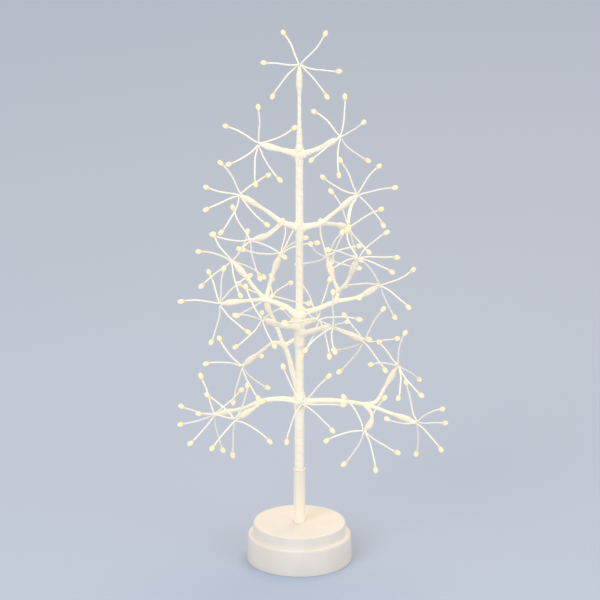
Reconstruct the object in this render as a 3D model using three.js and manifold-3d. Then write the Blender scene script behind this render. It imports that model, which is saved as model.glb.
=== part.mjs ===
// A bare twig tree with micro lights, standing on a round battery base.
// Millimetres, +Z up. The origin is the centre of the base's underside, and the front faces -Y.

import * as THREE from 'three';
import { mergeVertices } from 'three/addons/utils/BufferGeometryUtils.js';
import Module from 'manifold-3d';

const wasm = await Module();
wasm.setup();

// Base housing: a wide skirt round the battery well, with a smaller cap stepped on it
const skirtClear = 1.85; // between the well's corners and the skirt
const skirtHeadroom = 1.25; // between the well's top and the skirt's ceiling
const skirtDraft = 0.9; // the skirt leans in by this much from foot to shoulder
const skirtRound = 2.4;
const capStep = 4.2; // from the skirt's shoulder in to the cap
const capHeight = 9.4;
const capRound = 1.6;
const housingWall = 2;
const gap = 0.3; // left between two pieces that touch

// Base plate, set up inside the skirt and held by three screws
const plateRecess = 1.6;
const plateThickness = 2.4;
const bossDiameter = 6.8;
const bossBore = 3.3;
const bossSpread = 37; // between the two bosses on the switch's side
const screwHeadDiameter = 5.4;
const screwHeadHeight = 1;
const screwShankDiameter = 2.2;
const screwLength = 9;

// Three AA cells side by side in a well that hangs from the plate's inner face
const cellDiameter = 14.2;
const cellLength = 49.2;
const cellNubDiameter = 5.4;
const cellNubLength = 1;
const cellSpacing = 0.4;
const wellWall = 1.4;
const contactThickness = 0.5;
const contactWidth = 9;
const springLength = 4.2;
const springDiameter = 6.6;
const tailWidth = 3;
const tailRise = 1.6; // the terminals' solder tails stand this far above the well

// Battery door: hooked in by two tabs, held at the other end by a snap lug
const doorThickness = 1.5;
const doorOverlap = 1.2; // how far the door laps over the plate's ledge
const doorCorner = 4;
const tabWidth = 4;
const tabReach = 2.6;
const tabThickness = 1.1;
const lugWidth = 10;
const lugHeight = 1.9;
const fingerNotchDiameter = 13;

// Timer board with the slide switch soldered under it
const boardWidth = 10.4;
const boardLength = 26;
const boardThickness = 1.2;
const boardHeight = 5; // above the plate, on two posts
const postDiameter = 3.2;
const switchWidth = 6.6;
const switchLength = 12.4;
const switchTravel = 2; // each way from the middle position
const knobWidth = 2;
const knobLength = 2.8;
const knobFlange = 0.7; // the knob's foot is this much wider all round than its stem
const knobFlangeHeight = 2.2;
const knobClear = 0.9; // the knob's tip stays this far above the ground

// Trunk: a steel rod and the light wires, bound together in paper tape
const sleeveDiameter = 9.35;
const sleeveWall = 0.6;
const sleeveHeight = 47;
const sleeveLip = 0.35;
const socketDepth = 7.5;
const socketWall = 1.8;
const rodDiameter = 3;
const trunkLowDiameter = 7.9;
const trunkMiddleDiameter = 6.9;
const trunkUpperDiameter = 6.2;
const leaderDiameter = 3.1;
const crownDiameter = 5.1;
const firstKnotDiameter = 9.5;
const secondKnotDiameter = 9.3;
const secondKnotLength = 24;
const thirdKnotDiameter = 7;
const fourthKnotDiameter = 7.3;
const knotTaper = 6;

// Heights: the crown's hub above the ground, and each level as a share of that
const crownTop = 424.1;
const levelShares = [0, 0.3208, 0.4883, 0.6723, 0.8255];

// Limbs and their sprays of lights
const stubLength = 9; // from the trunk's axis to the bend at the root of a limb
const limbDiameter = 4.5;
const twigDiameter = 3.1;
const swellDiameter = 5.5; // tape built up under each spray
const swellLength = 17;
const tipDiameter = 3;
const knotDiameter = 4.8; // where a spray's wires part
const wireDiameter = 1.3;
const wireReach = 33; // from the middle of the hub to the middle of a light
const wireBow = 2.2;
const beadDiameter = 4;
const beadLength = 7.2;
const faceTilt = 20; // the sprays are spread to face someone looking down at this angle
const leadDiameter = 1.5;

const roundSides = 36;
const tubeSides = 12;
const limbSides = 6;
const wireSides = 4;

const plateTop = plateRecess + plateThickness;

// Battery well: its inside, and the cells and contacts along it
const cellPitch = cellDiameter + cellSpacing;
const wellWidth = 2 * cellPitch + cellDiameter + 2 * gap;
const wellLength = cellLength + cellNubLength + springLength + 2 * contactThickness + 4 * gap;
const doorTop = plateRecess + doorThickness;
const cellBottom = doorTop + gap;
const cellAxis = cellBottom + cellDiameter / 2;
const wellCeiling = cellBottom + cellDiameter + gap;
const wellTop = wellCeiling + wellWall;
const wellEnd = wellLength / 2;
const doorWidth = wellWidth + 2 * doorOverlap - 2 * gap;
const doorLength = wellLength + 2 * doorOverlap - 2 * gap;
const tabPlaces = [-cellPitch / 2, cellPitch / 2];
const tabBottom = plateTop + gap;
const tabTop = tabBottom + tabThickness;

// The base is as wide and as high as the well needs
const skirtTopInside = Math.hypot(wellWidth / 2 + wellWall, wellEnd + wellWall) + skirtClear;
const skirtTopDiameter = 2 * (skirtTopInside + housingWall);
const baseDiameter = skirtTopDiameter + 2 * skirtDraft;
const capDiameter = skirtTopDiameter - 2 * capStep;
const skirtHeight = wellTop + skirtHeadroom + housingWall;
const baseHeight = skirtHeight + capHeight;
const sleeveTop = baseHeight + sleeveHeight;
const trunkFoot = baseHeight - socketDepth;
const level = levelShares.map((share) => share * crownTop);
const skirtInside = baseDiameter / 2 - housingWall;

const ivoryTape = { color: 0xf6ecdc, roughness: 0.85, metalness: 0 };
const wireCoat = { color: 0xf3e6cd, roughness: 0.6, metalness: 0 };
const offWhitePlastic = { color: 0xece6e0, roughness: 0.45, metalness: 0 };
const steel = { color: 0xb9bcc0, roughness: 0.35, metalness: 1 };
const nickel = { color: 0xc9c4b6, roughness: 0.3, metalness: 1 };
const darkPlastic = { color: 0x2c2c2e, roughness: 0.5, metalness: 0 };
const cellJacket = { color: 0x8d9298, roughness: 0.4, metalness: 0.3 };
const boardGreen = { color: 0x2f6b45, roughness: 0.5, metalness: 0 };
const redLead = { color: 0xa32420, roughness: 0.5, metalness: 0 };
const blackLead = { color: 0x1d1d1f, roughness: 0.5, metalness: 0 };

const tree = new THREE.Group();

function addPart(name, shape, look) {
  const geometry = shape.isBufferGeometry ? shape : geometryOf(shape);
  const mesh = new THREE.Mesh(geometry, new THREE.MeshStandardMaterial(look));
  mesh.name = name;
  tree.add(mesh);
}

function solidOf(geometry) {
  const bare = geometry.clone();
  bare.deleteAttribute('normal');
  bare.deleteAttribute('uv');
  const merged = mergeVertices(bare, 1e-4);
  return new wasm.Manifold(new wasm.Mesh({
    numProp: 3,
    vertProperties: new Float32Array(merged.attributes.position.array),
    triVerts: new Uint32Array(merged.index.array),
  }));
}

function geometryOf(solid) {
  const { vertProperties, triVerts } = solid.getMesh();
  const geometry = new THREE.BufferGeometry();
  geometry.setAttribute('position', new THREE.BufferAttribute(vertProperties, 3));
  geometry.setIndex(new THREE.BufferAttribute(triVerts, 1));
  return geometry;
}

const joined = (...solids) => solids.reduce((all, next) => all.add(next));

// A profile of [radius, height] points turned about the Z axis
function turned(profile, sides = tubeSides) {
  const points = profile.map(([radius, height]) => new THREE.Vector2(radius, height));
  return solidOf(new THREE.LatheGeometry(points, sides).rotateX(Math.PI / 2));
}

function cylinder([x, y], low, high, diameter, sides = tubeSides) {
  const shape = new THREE.CylinderGeometry(diameter / 2, diameter / 2, high - low, sides);
  return solidOf(shape.rotateX(Math.PI / 2).translate(x, y, (low + high) / 2));
}

function box(x, y, z) {
  const shape = new THREE.BoxGeometry(x[1] - x[0], y[1] - y[0], z[1] - z[0]);
  return solidOf(shape.translate((x[0] + x[1]) / 2, (y[0] + y[1]) / 2, (z[0] + z[1]) / 2));
}

// A slab with rounded corners, centred on the Z axis
function roundedSlab(width, length, corner, low, high) {
  const [x, y] = [width / 2 - corner, length / 2 - corner];
  const outline = new THREE.Shape();
  outline.absarc(x, y, corner, 0, Math.PI / 2);
  outline.absarc(-x, y, corner, Math.PI / 2, Math.PI);
  outline.absarc(-x, -y, corner, Math.PI, Math.PI * 1.5);
  outline.absarc(x, -y, corner, Math.PI * 1.5, Math.PI * 2);
  const options = { depth: high - low, bevelEnabled: false, curveSegments: 4 };
  return solidOf(new THREE.ExtrudeGeometry(outline, options).translate(0, 0, low));
}

// A quarter round from straight up the side to flat along the top
function shoulder(radius, top, round, steps = 2) {
  const points = [];
  for (let i = 0; i <= steps; i++) {
    const turn = (i / steps) * Math.PI / 2;
    points.push([radius - round * (1 - Math.cos(turn)), top - round * (1 - Math.sin(turn))]);
  }
  return points;
}

// A tube along a curve that swells and narrows: each station is [distance along, radius].
// An end is a flat face, or a point where the radius is 0.
function sweptTube(curve, stations, sides) {
  const length = curve.getLength();
  const chord = curve.getPoint(1).sub(curve.getPoint(0)).normalize();
  const upright = Math.abs(chord.z) < 0.8 ? new THREE.Vector3(0, 0, 1) : new THREE.Vector3(0, 1, 0);
  const corners = [];
  const rings = stations.map(([distance, radius]) => {
    const along = Math.min(distance / length, 1);
    const forward = curve.getTangentAt(along);
    const middle = curve.getPointAt(along).addScaledVector(forward, Math.max(distance - length, 0));
    const side = new THREE.Vector3().crossVectors(upright, forward).normalize();
    const up = new THREE.Vector3().crossVectors(forward, side);
    const first = corners.length / 3;
    const count = radius > 0 ? sides : 1;
    for (let i = 0; i < count; i++) {
      const turn = (i / sides) * Math.PI * 2;
      const corner = middle.clone();
      corner.addScaledVector(side, radius * Math.cos(turn));
      corner.addScaledVector(up, radius * Math.sin(turn));
      corners.push(corner.x, corner.y, corner.z);
    }
    return { first, count };
  });
  const faces = [];
  rings.slice(1).forEach((next, i) => {
    const ring = rings[i];
    for (let k = 0; k < sides; k++) {
      const k2 = (k + 1) % sides;
      const [low, low2] = [ring.first + k % ring.count, ring.first + k2 % ring.count];
      const [high, high2] = [next.first + k % next.count, next.first + k2 % next.count];
      if (low !== low2) faces.push(low, low2, high2);
      if (high !== high2) faces.push(low, high2, high);
    }
  });
  const [root, tip] = [rings[0], rings.at(-1)];
  for (let k = 1; k < sides - 1; k++) {
    if (root.count > 1) faces.push(root.first, root.first + k + 1, root.first + k);
    if (tip.count > 1) faces.push(tip.first, tip.first + k, tip.first + k + 1);
  }
  const geometry = new THREE.BufferGeometry();
  geometry.setAttribute('position', new THREE.Float32BufferAttribute(corners, 3));
  geometry.setIndex(faces);
  return solidOf(geometry);
}

// Bosses and board stand midway between the well and the plate's edge
const plateRadius = skirtInside - skirtDraft * plateTop / skirtHeight - gap;
const besideWell = (y) => (wellWidth / 2 + wellWall + Math.sqrt(plateRadius ** 2 - y ** 2)) / 2;
const bossX = besideWell(bossSpread / 2);
const bossPlaces = [[-besideWell(0), 0], [bossX, bossSpread / 2], [bossX, -bossSpread / 2]];
const boardX = besideWell(boardLength / 2);

// Base housing
const socketBore = sleeveDiameter + 2 * gap;
const socketDiameter = socketBore + 2 * socketWall;
const ceiling = baseHeight - housingWall;
const housingProfile = [
  [baseDiameter / 2, 0],
  ...shoulder(skirtTopDiameter / 2, skirtHeight, skirtRound),
  [capDiameter / 2, skirtHeight],
  ...shoulder(capDiameter / 2, baseHeight, capRound),
  [socketBore / 2, baseHeight],
  [socketBore / 2, trunkFoot],
  [socketDiameter / 2, trunkFoot],
  [socketDiameter / 2, ceiling],
  [capDiameter / 2 - housingWall, ceiling],
  [capDiameter / 2 - housingWall, skirtHeight - housingWall],
  [skirtTopInside, skirtHeight - housingWall],
  [skirtInside, 0],
  [baseDiameter / 2, 0],
];
let housing = turned(housingProfile, roundSides);
for (const place of bossPlaces) {
  housing = housing.add(cylinder(place, plateTop, ceiling + housingWall / 2, bossDiameter, 8));
  const boreTop = plateTop + screwLength + 1;
  housing = housing.subtract(cylinder(place, plateTop - 1, boreTop, bossBore, 6));
}
addPart('base_housing', housing, offWhitePlastic);

// Base plate
const postPlaces = [-1, 1].map((end) => [boardX, end * (boardLength / 2 - postDiameter / 2)]);
const across = (half) => [-half, half];
const terminals = [[-cellPitch, -1], [cellPitch, 1]];
let plate = cylinder([0, 0], plateRecess, plateTop, 2 * plateRadius, roundSides);
plate = plate.add(box(across(wellWidth / 2 + wellWall), across(wellEnd + wellWall), [plateTop, wellTop]));
for (const place of postPlaces) {
  plate = plate.add(cylinder(place, plateTop, plateTop + boardHeight, postDiameter, 10));
}
const rebate = doorTop + gap;
plate = plate.subtract(box(across(wellWidth / 2), across(wellEnd), [plateRecess - 1, wellCeiling]));
plate = plate.subtract(
  roundedSlab(doorWidth + 2 * gap, doorLength + 2 * gap, doorCorner + gap, plateRecess - 1, rebate));
for (const x of tabPlaces) {
  const slotWidth = [x - tabWidth / 2 - gap, x + tabWidth / 2 + gap];
  const slotTop = tabTop + tabReach;
  plate = plate.subtract(box(slotWidth, [-wellEnd - wellWall - 1, -wellEnd + 1], [plateTop, slotTop]));
}
for (const place of bossPlaces) {
  plate = plate.subtract(cylinder(place, plateRecess - 1, plateTop + 1, bossBore, 8));
  const seat = plateRecess + screwHeadHeight + 2 * gap;
  plate = plate.subtract(cylinder(place, plateRecess - 1, seat, screwHeadDiameter + 3 * gap));
}
for (const [x, end] of terminals) {
  const slot = [end * wellEnd, end * (wellEnd - contactThickness - 2 * gap)].sort((a, b) => a - b);
  const halfSlot = tailWidth / 2 + gap;
  plate = plate.subtract(box([x - halfSlot, x + halfSlot], slot, [wellCeiling - 1, wellTop + 1]));
}
const slotHalf = knobWidth / 2 + gap;
plate = plate.subtract(box(
  [boardX - slotHalf, boardX + slotHalf],
  across(knobLength / 2 + switchTravel + gap),
  [plateRecess - 1, plateTop + 1],
));
plate = plate.subtract(
  cylinder([0, doorLength / 2 + gap], plateRecess - 1, doorTop, fingerNotchDiameter));
addPart('base_plate', plate, offWhitePlastic);

// Battery door: the tabs rise inside the well and reach out over the plate
let door = roundedSlab(doorWidth, doorLength, doorCorner, plateRecess, doorTop);
for (const x of tabPlaces) {
  const width = [x - tabWidth / 2, x + tabWidth / 2];
  const root = -wellEnd + gap;
  door = door.add(box(width, [root, root + 1.4], [doorTop - 0.5, tabTop]));
  door = door.add(box(width, [-doorLength / 2 - tabReach, root + 1], [tabBottom, tabTop]));
}
door = door.add(
  box(across(lugWidth / 2), [wellEnd - gap - 1.6, wellEnd - gap], [doorTop - 0.5, doorTop + lugHeight]));
for (const line of [0, 1, 2]) {
  const y = doorLength / 2 - 6 - 2.4 * line;
  door = door.subtract(box(across(8), [y - 0.5, y + 0.5], [plateRecess - 1, plateRecess + 0.5]));
}
addPart('battery_door', door, offWhitePlastic);

// Cells lie along Y and alternate end for end
const nubEnds = [1, -1, 1];
const cellLow = -cellLength / 2;
const cellProfile = [
  [0, cellLow],
  [cellDiameter / 2 - 0.6, cellLow],
  [cellDiameter / 2, cellLow + 0.6],
  [cellDiameter / 2, -cellLow - 0.8],
  [cellDiameter / 2 - 0.8, -cellLow],
  [cellNubDiameter / 2, -cellLow],
  [cellNubDiameter / 2, -cellLow + cellNubLength],
  [0, -cellLow + cellNubLength],
];
nubEnds.forEach((end, i) => {
  const x = (i - 1) * cellPitch;
  const nubFace = wellEnd - contactThickness - 2 * gap;
  const y = end * (nubFace - cellNubLength - cellLength / 2);
  const cell = turned(cellProfile).rotate([-90 * end, 0, 0]).translate([x, y, cellAxis]);
  addPart(`battery_cell_${i + 1}`, cell, cellJacket);
});

// Contacts: a flat strip behind each cell end, with a conical spring at the negative ends
function contact(end, cells, springAt, tailAt) {
  const face = end * (wellEnd - gap);
  const inner = end * (wellEnd - gap - contactThickness);
  const thick = [face, inner].sort((a, b) => a - b);
  const xs = cells.map((i) => (i - 1) * cellPitch);
  const low = Math.max(cellAxis - contactWidth / 2, tabTop + gap);
  const span = [Math.min(...xs) - contactWidth / 2, Math.max(...xs) + contactWidth / 2];
  let strip = box(span, thick, [low, low + contactWidth]);
  if (springAt !== undefined) {
    const coil = [[0, -0.2], [springDiameter / 2, -0.2], [springDiameter / 2, 1]];
    coil.push([springDiameter / 2 - 0.9, springLength / 2], [1.3, springLength], [0, springLength]);
    const spring = turned(coil, 10).rotate([end > 0 ? 90 : -90, 0, 0]);
    strip = strip.add(spring.translate([(springAt - 1) * cellPitch, inner, cellAxis]));
  }
  if (tailAt !== undefined) {
    const x = (tailAt - 1) * cellPitch;
    const rise = [low + contactWidth - 1, wellTop + tailRise];
    strip = strip.add(box([x - tailWidth / 2, x + tailWidth / 2], thick, rise));
  }
  return strip;
}
addPart('contact_negative', contact(-1, [0], 0, 0), nickel);
addPart('contact_bridge_rear', contact(1, [0, 1], 1), nickel);
addPart('contact_bridge_front', contact(-1, [1, 2], 2), nickel);
addPart('contact_positive', contact(1, [2], undefined, 2), nickel);

// Screws, driven up through the plate into the housing's bosses
const headSeat = plateRecess + screwHeadHeight + gap;
const screwProfile = [
  [0, headSeat - screwHeadHeight],
  [screwHeadDiameter / 2 - 0.8, headSeat - screwHeadHeight],
  [screwHeadDiameter / 2, headSeat],
  [screwShankDiameter / 2, headSeat],
  [screwShankDiameter / 2, headSeat + screwLength - 1],
  [0, headSeat + screwLength],
];
bossPlaces.forEach(([x, y], i) => {
  addPart(`plate_screw_${i + 1}`, turned(screwProfile, 8).translate([x, y, 0]), steel);
});

// Timer board, switch and knob
const boardBottom = plateTop + boardHeight + gap;
const boardTop = boardBottom + boardThickness;
const boardSpan = [boardX - boardWidth / 2, boardX + boardWidth / 2];
const chip = box([boardX - 3.4, boardX + 0.6], [-8, -3], [boardTop - 0.2, boardTop + 1.6]);
const capacitor = cylinder([boardX + 1, 8], boardTop - 0.2, boardTop + 6, 4.4, 12);
addPart('timer_board', joined(
  box(boardSpan, across(boardLength / 2), [boardBottom, boardTop]), chip, capacitor), boardGreen);

const switchBottom = plateTop + gap;
const switchTop = boardBottom - gap;
const flangeTop = switchBottom + knobFlangeHeight;
const flangeWidth = knobWidth + 2 * knobFlange;
const flangeLength = knobLength + 2 * knobFlange;
const switchBody = box(
  [boardX - switchWidth / 2, boardX + switchWidth / 2],
  across(switchLength / 2),
  [switchBottom, switchTop],
).subtract(box(
  [boardX - flangeWidth / 2 - gap, boardX + flangeWidth / 2 + gap],
  across(flangeLength / 2 + switchTravel + gap),
  [switchBottom - 1, flangeTop + gap],
));
addPart('switch_body', switchBody, darkPlastic);

const flangeSpan = [boardX - flangeWidth / 2, boardX + flangeWidth / 2];
const knobSpan = [boardX - knobWidth / 2, boardX + knobWidth / 2];
const knob = joined(
  box(flangeSpan, across(flangeLength / 2), [switchBottom, flangeTop]),
  box(knobSpan, across(knobLength / 2), [knobClear, switchBottom + 0.5]),
);
addPart('switch_knob', knob, darkPlastic);

// Sleeve: the tube that stands in the base and grips the trunk
const sleeveRadius = sleeveDiameter / 2;
const sleeveBore = sleeveRadius - sleeveWall;
addPart('trunk_sleeve', turned([
  [sleeveRadius, trunkFoot],
  [sleeveRadius, sleeveTop - 2],
  [sleeveRadius + sleeveLip, sleeveTop - 1.4],
  [sleeveRadius + sleeveLip, sleeveTop - 0.4],
  [sleeveRadius, sleeveTop],
  [sleeveBore, sleeveTop],
  [sleeveBore, trunkFoot],
  [sleeveRadius, trunkFoot],
]), ivoryTape);

// Trunk binding: thicker where the limbs' wires join it, thin in the leader above the fourth level
function knot(height, diameter, length, below, above) {
  return [
    [below / 2, height - length / 2 - knotTaper],
    [diameter / 2, height - length / 2],
    [diameter / 2, height + length / 2],
    [above / 2, height + length / 2 + knotTaper],
  ];
}
const knotClear = knotDiameter / 2 + gap;
const trunkEnd = crownTop - knotClear;
const footRadius = sleeveBore - gap;
const secondKnotMiddle = level[2] - secondKnotLength / 2 + 4;
const trunkProfile = [
  [0, trunkFoot],
  [footRadius, trunkFoot],
  [footRadius, sleeveTop + 1],
  [trunkLowDiameter / 2, sleeveTop + 3],
  ...knot(level[1], firstKnotDiameter, 8, trunkLowDiameter, trunkMiddleDiameter),
  ...knot(secondKnotMiddle, secondKnotDiameter, secondKnotLength, trunkMiddleDiameter, trunkUpperDiameter),
  ...knot(level[3], thirdKnotDiameter, 7, trunkUpperDiameter, trunkUpperDiameter),
  ...knot(level[4] - 1, fourthKnotDiameter, 6, trunkUpperDiameter, trunkUpperDiameter),
  [leaderDiameter / 2, level[4] + (crownTop - level[4]) * 0.38],
  [leaderDiameter / 2, trunkEnd - swellLength * 1.3],
  [crownDiameter / 2, trunkEnd - swellLength * 0.9],
  [crownDiameter / 2, trunkEnd - swellLength * 0.3],
  [tipDiameter / 2, trunkEnd],
  [0, trunkEnd],
];
const rodTop = level[4] - 8;
const rodBore = rodDiameter + 2 * gap;
addPart('trunk_rod', cylinder([0, 0], trunkFoot, rodTop, rodDiameter, 12), steel);

// Limbs. Points are offsets from the trunk's axis at the limb's level. A limb's first path starts
// at its root, and the others fork from it. Each path ends at the hub of a spray, whose wires are
// [clock angle seen from the front, lean towards the front], in degrees.
const limbs = [
  {
    name: 'limb_4_left', level: 4, root: -2, twigs: [
      { spray: 'spray_4_left', path: [[-16, 5, 0.5], [-32.5, 12, 2.5]],
        wires: [[65, -21], [150, 10], [185, 17], [236, 30], [299, -25], [359, 28]] },
    ],
  },
  {
    name: 'limb_4_right', level: 4, root: -3, twigs: [
      { spray: 'spray_4_right', path: [[15, -5, 4.5], [32.5, -12, 16.5]],
        wires: [[7, -10], [57, 48], [129, -31], [182, 27], [232, 30], [316, -28]] },
    ],
  },
  {
    name: 'limb_3_left', level: 3, root: 0, twigs: [
      { spray: 'spray_3_left_high', path: [[-14, -2, 6], [-27, -5, 17], [-47.5, -10, 32]],
        wires: [[54, -35], [138, 18], [207, 0], [247, 28], [283, -33], [329, 26]] },
      { spray: 'spray_3_left_low', path: [[-14, -2, 6], [-24, -11, -1], [-39, -20, -3]],
        wires: [[58, 28], [116, 27], [167, -22], [235, 70], [278, 23], [331, -26]] },
    ],
  },
  {
    name: 'limb_3_right', level: 3, root: 0, twigs: [
      { spray: 'spray_3_right_high', path: [[16.5, 3, 3], [28.5, 6, 11.5], [46.5, 10, 25]],
        wires: [[37, -30], [79, 24], [139, -17], [195, 37], [297, -23], [334, 22]] },
      { spray: 'spray_3_right_low', path: [[16.5, 3, 3], [28, 18, -3], [39.5, 34, -12]],
        wires: [[11, -47], [60, -25], [140, 41], [166, -44], [206, -27], [335, 13]] },
    ],
  },
  {
    name: 'limb_2_left', level: 2, root: 1, twigs: [
      { spray: 'spray_2_left_out', path: [[-9, 1.5, 9], [-27, 5, 14.5], [-40, 5.5, 14], [-64, 6, 11]],
        wires: [[6, 31], [46, 12], [135, 19], [193, -19], [274, 20], [340, -36]] },
      { spray: 'spray_2_left_high',
        path: [[-27, 5, 14.5], [-36, 11, 22.5], [-44, 17, 31.5], [-54, 22, 41.5]],
        wires: [[27, 36], [116, -34], [167, 34], [232, -17], [287, 32], [325, -37]] },
      { spray: 'spray_2_left_inner',
        path: [[-27, 5, 14.5], [-24, 9, 26.5], [-18, 14, 43.5], [-15, 16, 50.5]],
        wires: [[9, -44], [29, -30], [57, -45], [73, -25], [199, -50], [276, -24]] },
    ],
  },
  {
    name: 'limb_2_right', level: 2, root: 4, twigs: [
      { spray: 'spray_2_right_out', path: [[15, -4, 10.5], [29.5, 3, 14], [47, 6.5, 16.5], [65, 8, 26]],
        wires: [[65, -28], [127, 32], [155, -33], [240, 55], [269, -33], [323, 39]] },
      { spray: 'spray_2_right_inner', path: [[29.5, 3, 14], [31, 6, 22], [28, 8, 30.5], [22, 12, 49]],
        wires: [[31, 45], [71, -35], [109, -35], [256, -44], [309, 60], [350, -29]] },
      { spray: 'spray_2_right_high', path: [[31, 6, 22], [37.5, -4, 32], [47, -12, 57]],
        wires: [[48, 23], [89, -21], [112, 29], [246, 45], [286, 42], [338, -45]] },
    ],
  },
  {
    name: 'limb_2_front_left', level: 2, root: -7, twigs: [
      { spray: 'spray_2_front_left', path: [[-14, -12, -1], [-30, -26, 9.5]],
        wires: [[0, 80], [60, 55], [155, 46], [224, 25], [280, 49], [333, -29]] },
    ],
  },
  {
    name: 'limb_2_front', level: 2, root: -4, twigs: [
      { spray: 'spray_2_front', path: [[15.5, -1, 1]],
        wires: [[16, -12], [91, 12], [164, 20], [205, -2], [264, 35], [334, -12]] },
    ],
  },
  {
    name: 'limb_2_front_right', level: 2, root: -13, twigs: [
      { spray: 'spray_2_front_right', path: [[13, -14, -4], [27, -30, 5]],
        wires: [[0, 34], [70, 69], [110, -24], [176, 53], [230, 30], [300, 35]] },
    ],
  },
  {
    name: 'limb_1_left', level: 1, root: 0, twigs: [
      { spray: 'spray_1_left_out', path: [[-12, 0.5, 2], [-30, 0, 0.5], [-44, 4, -7], [-68.5, 10, -15.5]],
        wires: [[47, -30], [168, -29], [221, 26], [254, -30], [285, 33], [340, -5]] },
      { spray: 'spray_1_left_in', path: [[-30, 0, 0.5], [-37, -4, -4.5], [-52, -12, -11]],
        wires: [[20, 28], [122, 10], [184, -30], [219, 29], [280, 28], [311, -27]] },
    ],
  },
  {
    name: 'limb_1_right', level: 1, root: 0, twigs: [
      { spray: 'spray_1_right_out', path: [[24.5, 2, 0], [53, 3, -4], [75, -2, -10], [94.5, -6, -16]],
        wires: [[61, 45], [92, -45], [137, 30], [179, -40], [278, 44], [346, 0]] },
      { spray: 'spray_1_right_high', path: [[53, 3, -4], [62, 6, -2.5], [69, 10, 8], [80, 14, 25.5]],
        wires: [[11, 35], [123, -52], [142, 27], [180, 40], [274, 48], [321, -44]] },
      { spray: 'spray_1_right_low',
        path: [[53, 3, -4], [58.5, -8, -8.5], [57, -19, -12.5], [52.5, -28, -14.5]],
        wires: [[31, 22], [124, -17], [164, 13], [211, -19], [256, 20], [329, -20]] },
    ],
  },
  {
    name: 'limb_1_front', level: 1, root: -3, twigs: [
      { spray: 'spray_1_front', path: [[1, -24, 6], [2, -48, 16.5]],
        wires: [[44, 22], [92, -10], [131, 15], [202, -10], [274, 18], [333, -7]] },
    ],
  },
  {
    name: 'limb_1_back', level: 1, root: 7, twigs: [
      { spray: 'spray_1_back_left',
        path: [[-5, 9, 20], [-12.5, 18, 41], [-20, 22, 42.5], [-30, 29, 33], [-46.5, 38, 16]],
        wires: [[62, -59], [131, -37], [153, 31], [194, -26], [275, 29], [320, -30]] },
      { spray: 'spray_1_back_right',
        path: [[-12.5, 18, 41], [0, 23, 47], [24, 30, 52.5], [34, 34, 48.5], [52, 40, 37]],
        wires: [[31, 24], [86, -35], [143, 30], [218, -20], [253, -42], [324, -39]] },
      { spray: 'spray_1_back_high', path: [[-12.5, 18, 41], [-20, 29, 58], [-26, 37, 69], [-22, 44, 74.5]],
        wires: [[54, -57], [101, 26], [140, -40], [241, -15], [290, -30], [356, -60]] },
    ],
  },
];
const crownWires = [[40, 16], [99, -18], [139, 5], [221, -13], [273, 32], [334, -30]];

// A spray: a small knot where six coated wires part, each ending in a clear teardrop light.
// One corner of the knot points back at the end of the twig that carries it.
function spray(hub, before, wires) {
  const tilt = THREE.MathUtils.degToRad(faceTilt);
  const right = new THREE.Vector3(1, 0, 0);
  const up = new THREE.Vector3(0, Math.sin(tilt), Math.cos(tilt));
  const front = new THREE.Vector3(0, -Math.cos(tilt), Math.sin(tilt));
  const wireRoot = knotDiameter * 0.23;
  const free = wireReach - wireRoot;
  const stations = [
    [0, wireDiameter / 2],
    [free * 0.5, wireDiameter / 2],
    [free - beadLength * 0.5, wireDiameter / 2],
    [free + beadLength * 0.12, beadDiameter / 2],
    [free + beadLength * 0.5, 0],
  ];
  const back = before.clone().sub(hub).normalize();
  const facing = new THREE.Quaternion().setFromUnitVectors(new THREE.Vector3(0, 0, 1), back);
  const knotShape = new THREE.OctahedronGeometry(knotDiameter / 2).applyQuaternion(facing);
  let shape = solidOf(knotShape.translate(...hub));
  wires.forEach(([clock, lean], i) => {
    const turn = THREE.MathUtils.degToRad(clock);
    const pitch = THREE.MathUtils.degToRad(lean);
    const outward = right.clone().multiplyScalar(Math.sin(turn)).addScaledVector(up, Math.cos(turn));
    const sideways = right.clone().multiplyScalar(Math.cos(turn)).addScaledVector(up, -Math.sin(turn));
    const along = outward.multiplyScalar(Math.cos(pitch)).addScaledVector(front, Math.sin(pitch));
    const end = hub.clone().addScaledVector(along, wireReach);
    const bowed = hub.clone().addScaledVector(along, wireReach * 0.55);
    bowed.addScaledVector(sideways, 2 * wireBow * Math.sin(2.4 * i + clock));
    const root = hub.clone().addScaledVector(along, wireRoot);
    const curve = new THREE.QuadraticBezierCurve3(root, bowed, end);
    shape = shape.add(sweptTube(curve, stations, wireSides));
  });
  return shape;
}

// A twig narrows from its root, swells with tape under the spray and ends in a blunt tip
function twig(points, rootEnd, rootDiameter) {
  const curve = new THREE.CatmullRomCurve3(points);
  const length = curve.getLength() - knotClear;
  const swell = Math.min(swellLength, (length - rootDiameter) * 0.9);
  const plain = length - swell - rootDiameter / 2;
  const steps = Math.max(1, Math.round(plain / 16));
  const stations = [...rootEnd];
  for (let i = 1; i <= steps; i++) {
    const diameter = THREE.MathUtils.lerp(rootDiameter, twigDiameter, i / steps);
    stations.push([rootDiameter / 2 + (plain * i) / steps, diameter / 2]);
  }
  stations.push([length - swell * 0.6, swellDiameter / 2]);
  stations.push([length - swell * 0.25, swellDiameter / 2]);
  stations.push([length, tipDiameter / 2]);
  return sweptTube(curve, stations, limbSides);
}

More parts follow.
